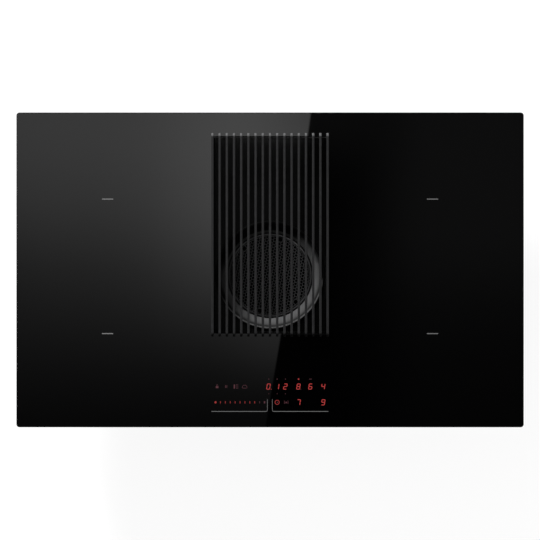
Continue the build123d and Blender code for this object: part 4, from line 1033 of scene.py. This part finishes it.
def honeycomb():
    """Fine honeycomb sheet with a solid rim and six framed notches."""
    low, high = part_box("filter_mesh")
    radius = (high.x - low.x) / 2
    notches = notch_frames()
    mesh = bmesh.new()
    add_cells(mesh, cell_centres(radius, notches))
    limit = radius - RIM_INSET
    for vert in mesh.verts:
        flat = vert.co.xy
        if flat.length > limit:
            vert.co.xy = flat * (limit / flat.length)
    thicken(mesh, low.z, high.z - MESH_SINK)
    rim_outer, rim_inner = circle((0, 0), radius, RIM_SIDES), circle((0, 0), radius - MESH_RIM, RIM_SIDES)
    ring_prism(mesh, rim_outer, rim_inner, low.z, high.z)
    for notch in notches:
        outer = notch_outline(notch, NOTCH_EDGE)
        inner = [(x * NOTCH_DRAW, y * NOTCH_DRAW) for x, y in notch_outline(notch, 0.0)]
        ring_prism(mesh, outer, inner, low.z - NOTCH_DROP, high.z)
    bmesh.ops.translate(mesh, verts=mesh.verts, vec=intake_centre)
    bmesh.ops.recalc_face_normals(mesh, faces=mesh.faces)
    return mesh


def add_filter_mesh():
    """Honeycomb in the place of the coarse sheet."""
    made = piece("honeycomb_mesh", honeycomb(), looks["filter_steel"], "filter")
    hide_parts("filter_mesh")


# ---- Reflection card ----
CARD_HEIGHT = 1.3
CARD_WIDTH = 7.0
CARD_DEPTH = 6.0
# Light of the card by the place on the glass where it shows, in metres from the middle of the view: points
# of a place and a level, along the glass to the rear or across it to the right.
BRIGHT_ALONG = (
    (-0.6, 0.03),
    (-0.26, 0.045),
    (-0.2, 0.075),
    (-0.14, 0.12),
    (-0.07, 0.22),
    (0.0, 0.36),
    (0.06, 0.56),
    (0.12, 0.76),
    (0.19, 0.93),
    (0.27, 1.04),
    (0.6, 0.6),
    (1.0, 0.2),
)
BRIGHT_TOP = 1.5
MIDDLE_ALONG = (
    (-0.26, 0.0),
    (-0.2, 0.05),
    (-0.14, 0.45),
    (-0.06, 0.95),
    (0.0, 1.1),
    (0.06, 0.9),
    (0.14, 0.65),
    (0.26, 0.4),
)
MIDDLE_ACROSS = (
    (-0.7, -0.7),
    (-0.42, -0.04),
    (-0.3, 0.0),
    (-0.2, 0.2),
    (-0.12, 0.85),
    (-0.06, 1.0),
    (0.05, 0.9),
)
REAR_ALONG = ((0.1, 0.0), (0.17, 0.1), (0.22, 0.9), (0.3, 1.0))
REAR_ACROSS = ((-0.07, 0.0), (-0.03, -0.04), (0.02, -0.2), (0.08, -0.38))
FRONT_ALONG = ((-0.3, 0.0), (-0.22, 0.1), (-0.16, 1.0), (-0.11, 0.9), (-0.06, 0.0))
FRONT_ACROSS = ((-0.11, 0.0), (-0.08, 0.05), (-0.04, 0.3), (0.0, 0.6), (0.03, 0.6))
# Changes of the bright part: points along, a level that none of them passes, and points across.
CHANGES = (
    (MIDDLE_ALONG, 1.5, MIDDLE_ACROSS),
    (REAR_ALONG, 1.0, REAR_ACROSS),
    (FRONT_ALONG, 1.0, FRONT_ACROSS),
)
DARK_ACROSS = ((0.08, 0.004), (0.15, 0.02), (0.21, 0.08), (0.26, 0.1), (0.45, 0.105), (1.0, 0.05))
DARK_TOP = 0.2
DARK_ALONG = ((-0.26, 0.2), (-0.14, 0.35), (-0.06, 0.55), (0.0, 0.8), (0.06, 0.98), (0.26, 1.0), (0.6, 0.6))
CORNER_ACROSS = ((0.05, 1.0), (0.12, 1.0), (0.17, 0.4), (0.21, 0.0))
CORNER_ALONG = ((0.1, 0.0), (0.16, 0.01), (0.2, 0.035), (0.24, 0.06), (0.3, 0.065))
CORNER_TOP = 0.1
# Distances from the middle at which the card starts to turn pale, and is as white as the surroundings.
SURROUND_START = 0.53
SURROUND_STOP = 1.95


def bright_side(tree, across, along):
    """Light of the card left of its slanted edge."""
    light = smooth_curve(tree, along, BRIGHT_ALONG, BRIGHT_TOP)
    for points_along, top, points_across in CHANGES:
        amount = smooth_curve(tree, along, points_along, top)
        change = product(tree, amount, signed_curve(tree, across, points_across))
        light = product(tree, light, math_node(tree, "ADD", change, 1.0))
    return light


def dark_side(tree, across, along):
    """Faint light of the card right of its slanted edge, and a little more at the rear beside it."""
    by_width = smooth_curve(tree, across, DARK_ACROSS, DARK_TOP)
    faint = product(tree, by_width, smooth_curve(tree, along, DARK_ALONG))
    by_length = smooth_curve(tree, along, CORNER_ALONG, CORNER_TOP)
    corner = product(tree, smooth_curve(tree, across, CORNER_ACROSS), by_length)
    return math_node(tree, "ADD", faint, corner)


def left_of_edge(tree, across, along):
    """One left of the slanted edge and nought right of it, with a narrow blur."""
    front = math_node(tree, "MINIMUM", math_node(tree, "SUBTRACT", along, EDGE_TURN_Y), 0.0)
    past = math_node(tree, "SUBTRACT", past_edge(tree, across, along), product(tree, front, EDGE_TURN))
    return math_node(tree, "ADD", math_node(tree, "DIVIDE", past, -EDGE_BLUR), 0.5, clamp=True)


def card_look():
    """Light card: bright at the rear left, dark past its edge, white far outside."""
    made = bpy.data.materials.new("reflection_card")
    made.use_nodes = True
    tree = made.node_tree
    tree.nodes.clear()
    output = add_node(tree, "ShaderNodeOutputMaterial")
    glow = add_node(tree, "ShaderNodeEmission")
    tree.links.new(glow.outputs["Emission"], output.inputs["Surface"])
    across, along = place(tree, "X"), place(tree, "Y")
    share = left_of_edge(tree, across, along)
    lit = product(tree, bright_side(tree, across, along), share)
    unlit = product(tree, dark_side(tree, across, along), math_node(tree, "SUBTRACT", 1.0, share))
    surround = rising(tree, distance(tree, across, along), SURROUND_START, SURROUND_STOP)
    level = math_node(tree, "MAXIMUM", math_node(tree, "ADD", lit, unlit), surround)
    tree.links.new(level, glow.inputs["Strength"])
    return made


def stage_plane(name, corners, look):
    """Flat four-cornered piece of the stage."""
    mesh = bpy.data.meshes.new(name)
    mesh.from_pydata([(x, y, 0) for x, y in corners], [], [(0, 1, 2, 3)])
    made = bpy.data.objects.new(name, mesh)
    bpy.context.scene.collection.objects.link(made)
    mesh.materials.append(look)
    return made


def add_card():
    """Overhead card, facing down and seen only in reflections."""
    scale = 1 + CARD_HEIGHT / VIEW_HEIGHT
    half_x, half_y = CARD_WIDTH / 2 / scale, CARD_DEPTH / 2 / scale
    corners = ((-half_x, -half_y), (-half_x, half_y), (half_x, half_y), (half_x, -half_y))
    card = stage_plane("reflection_card", corners, card_look())
    card.location = (VIEW_CENTRE.x, VIEW_CENTRE.y, surface + CARD_HEIGHT)
    card.scale = (scale, scale, 1)
    card.visible_camera = False
    card.visible_diffuse = False
    card.visible_shadow = False
    card.visible_transmission = False
    card.visible_volume_scatter = False


# ---- Studio ----
FLOOR_HALF = 6.0
FLOOR_TONE = (0.3, 0.3, 0.3)
# Glow of the floor where it is seen itself, and light of the surroundings where they only light.
FLOOR_GLOW = 0.8
FILL = 0.4
# Each lamp's name, place, target, width and power in watts.
LAMPS = (
    ("key_lamp", (-1.5, 2.5, surface + 1.9), (0, 0, surface), 1.0, 135),
    ("front_lamp", (1.6, -3.0, 0.9), (0, 0, 0.1), 1.6, 60),
)


def seen_itself(tree):
    """One where a thing is seen itself, mirrored or through glass, and nought where it only lights."""
    path = add_node(tree, "ShaderNodeLightPath")
    seen = math_node(tree, "MAXIMUM", path.outputs["Is Camera Ray"], path.outputs["Is Glossy Ray"])
    return math_node(tree, "MAXIMUM", seen, path.outputs["Is Transmission Ray"])


def floor_look():
    """Pale floor that shows white and keeps the object's shadow."""
    made, tree, shader = material("studio_floor")
    set_base(shader, FLOOR_TONE, 0.9)
    shader.inputs["Specular IOR Level"].default_value = 0.1
    shader.inputs["Emission Color"].default_value = (1, 1, 1, 1)
    tree.links.new(product(tree, seen_itself(tree), FLOOR_GLOW), shader.inputs["Emission Strength"])
    return made


def add_floor():
    """Large plain floor under the object."""
    half = FLOOR_HALF
    stage_plane("studio_floor", ((-half, -half), (half, -half), (half, half), (-half, half)), floor_look())


def add_world():
    """White surroundings to the camera and in reflections, and an even soft fill."""
    world = bpy.data.worlds.new("studio")
    bpy.context.scene.world = world
    world.use_nodes = True
    tree = world.node_tree
    backdrop = next(node for node in tree.nodes if node.type == "BACKGROUND")
    backdrop.inputs["Color"].default_value = (1, 1, 1, 1)
    level = math_node(tree, "ADD", product(tree, seen_itself(tree), 1.0 - FILL), FILL)
    tree.links.new(level, backdrop.inputs["Strength"])


def add_lamp(name, spot, target, width, power):
    """Soft square lamp aimed at a place."""
    lamp = bpy.data.lights.new(name, "AREA")
    lamp.energy = power
    lamp.shape = "SQUARE"
    lamp.size = width
    made = bpy.data.objects.new(name, lamp)
    bpy.context.scene.collection.objects.link(made)
    made.location = spot
    made.rotation_euler = (Vector(target) - Vector(spot)).to_track_quat("-Z", "Y").to_euler()


def add_studio():
    """Floor, reflection card, surroundings and lamps."""
    add_floor()
    add_card()
    add_world()
    for lamp in LAMPS:
        add_lamp(*lamp)


def add_camera():
    """Camera straight above the hob."""
    data = bpy.data.cameras.new("camera")
    data.sensor_width = SENSOR_WIDTH
    data.sensor_fit = "HORIZONTAL"
    data.lens = SENSOR_WIDTH * VIEW_HEIGHT / VIEW_WIDTH
    data.clip_end = VIEW_REACH
    camera = bpy.data.objects.new("camera", data)
    bpy.context.scene.collection.objects.link(camera)
    camera.location = (VIEW_CENTRE.x, VIEW_CENTRE.y, surface + VIEW_HEIGHT)
    bpy.context.scene.camera = camera


dress_nodes()
add_marks()
add_filter_mesh()
add_camera()
add_studio()
bpy.context.scene.view_settings.view_transform = "Standard"
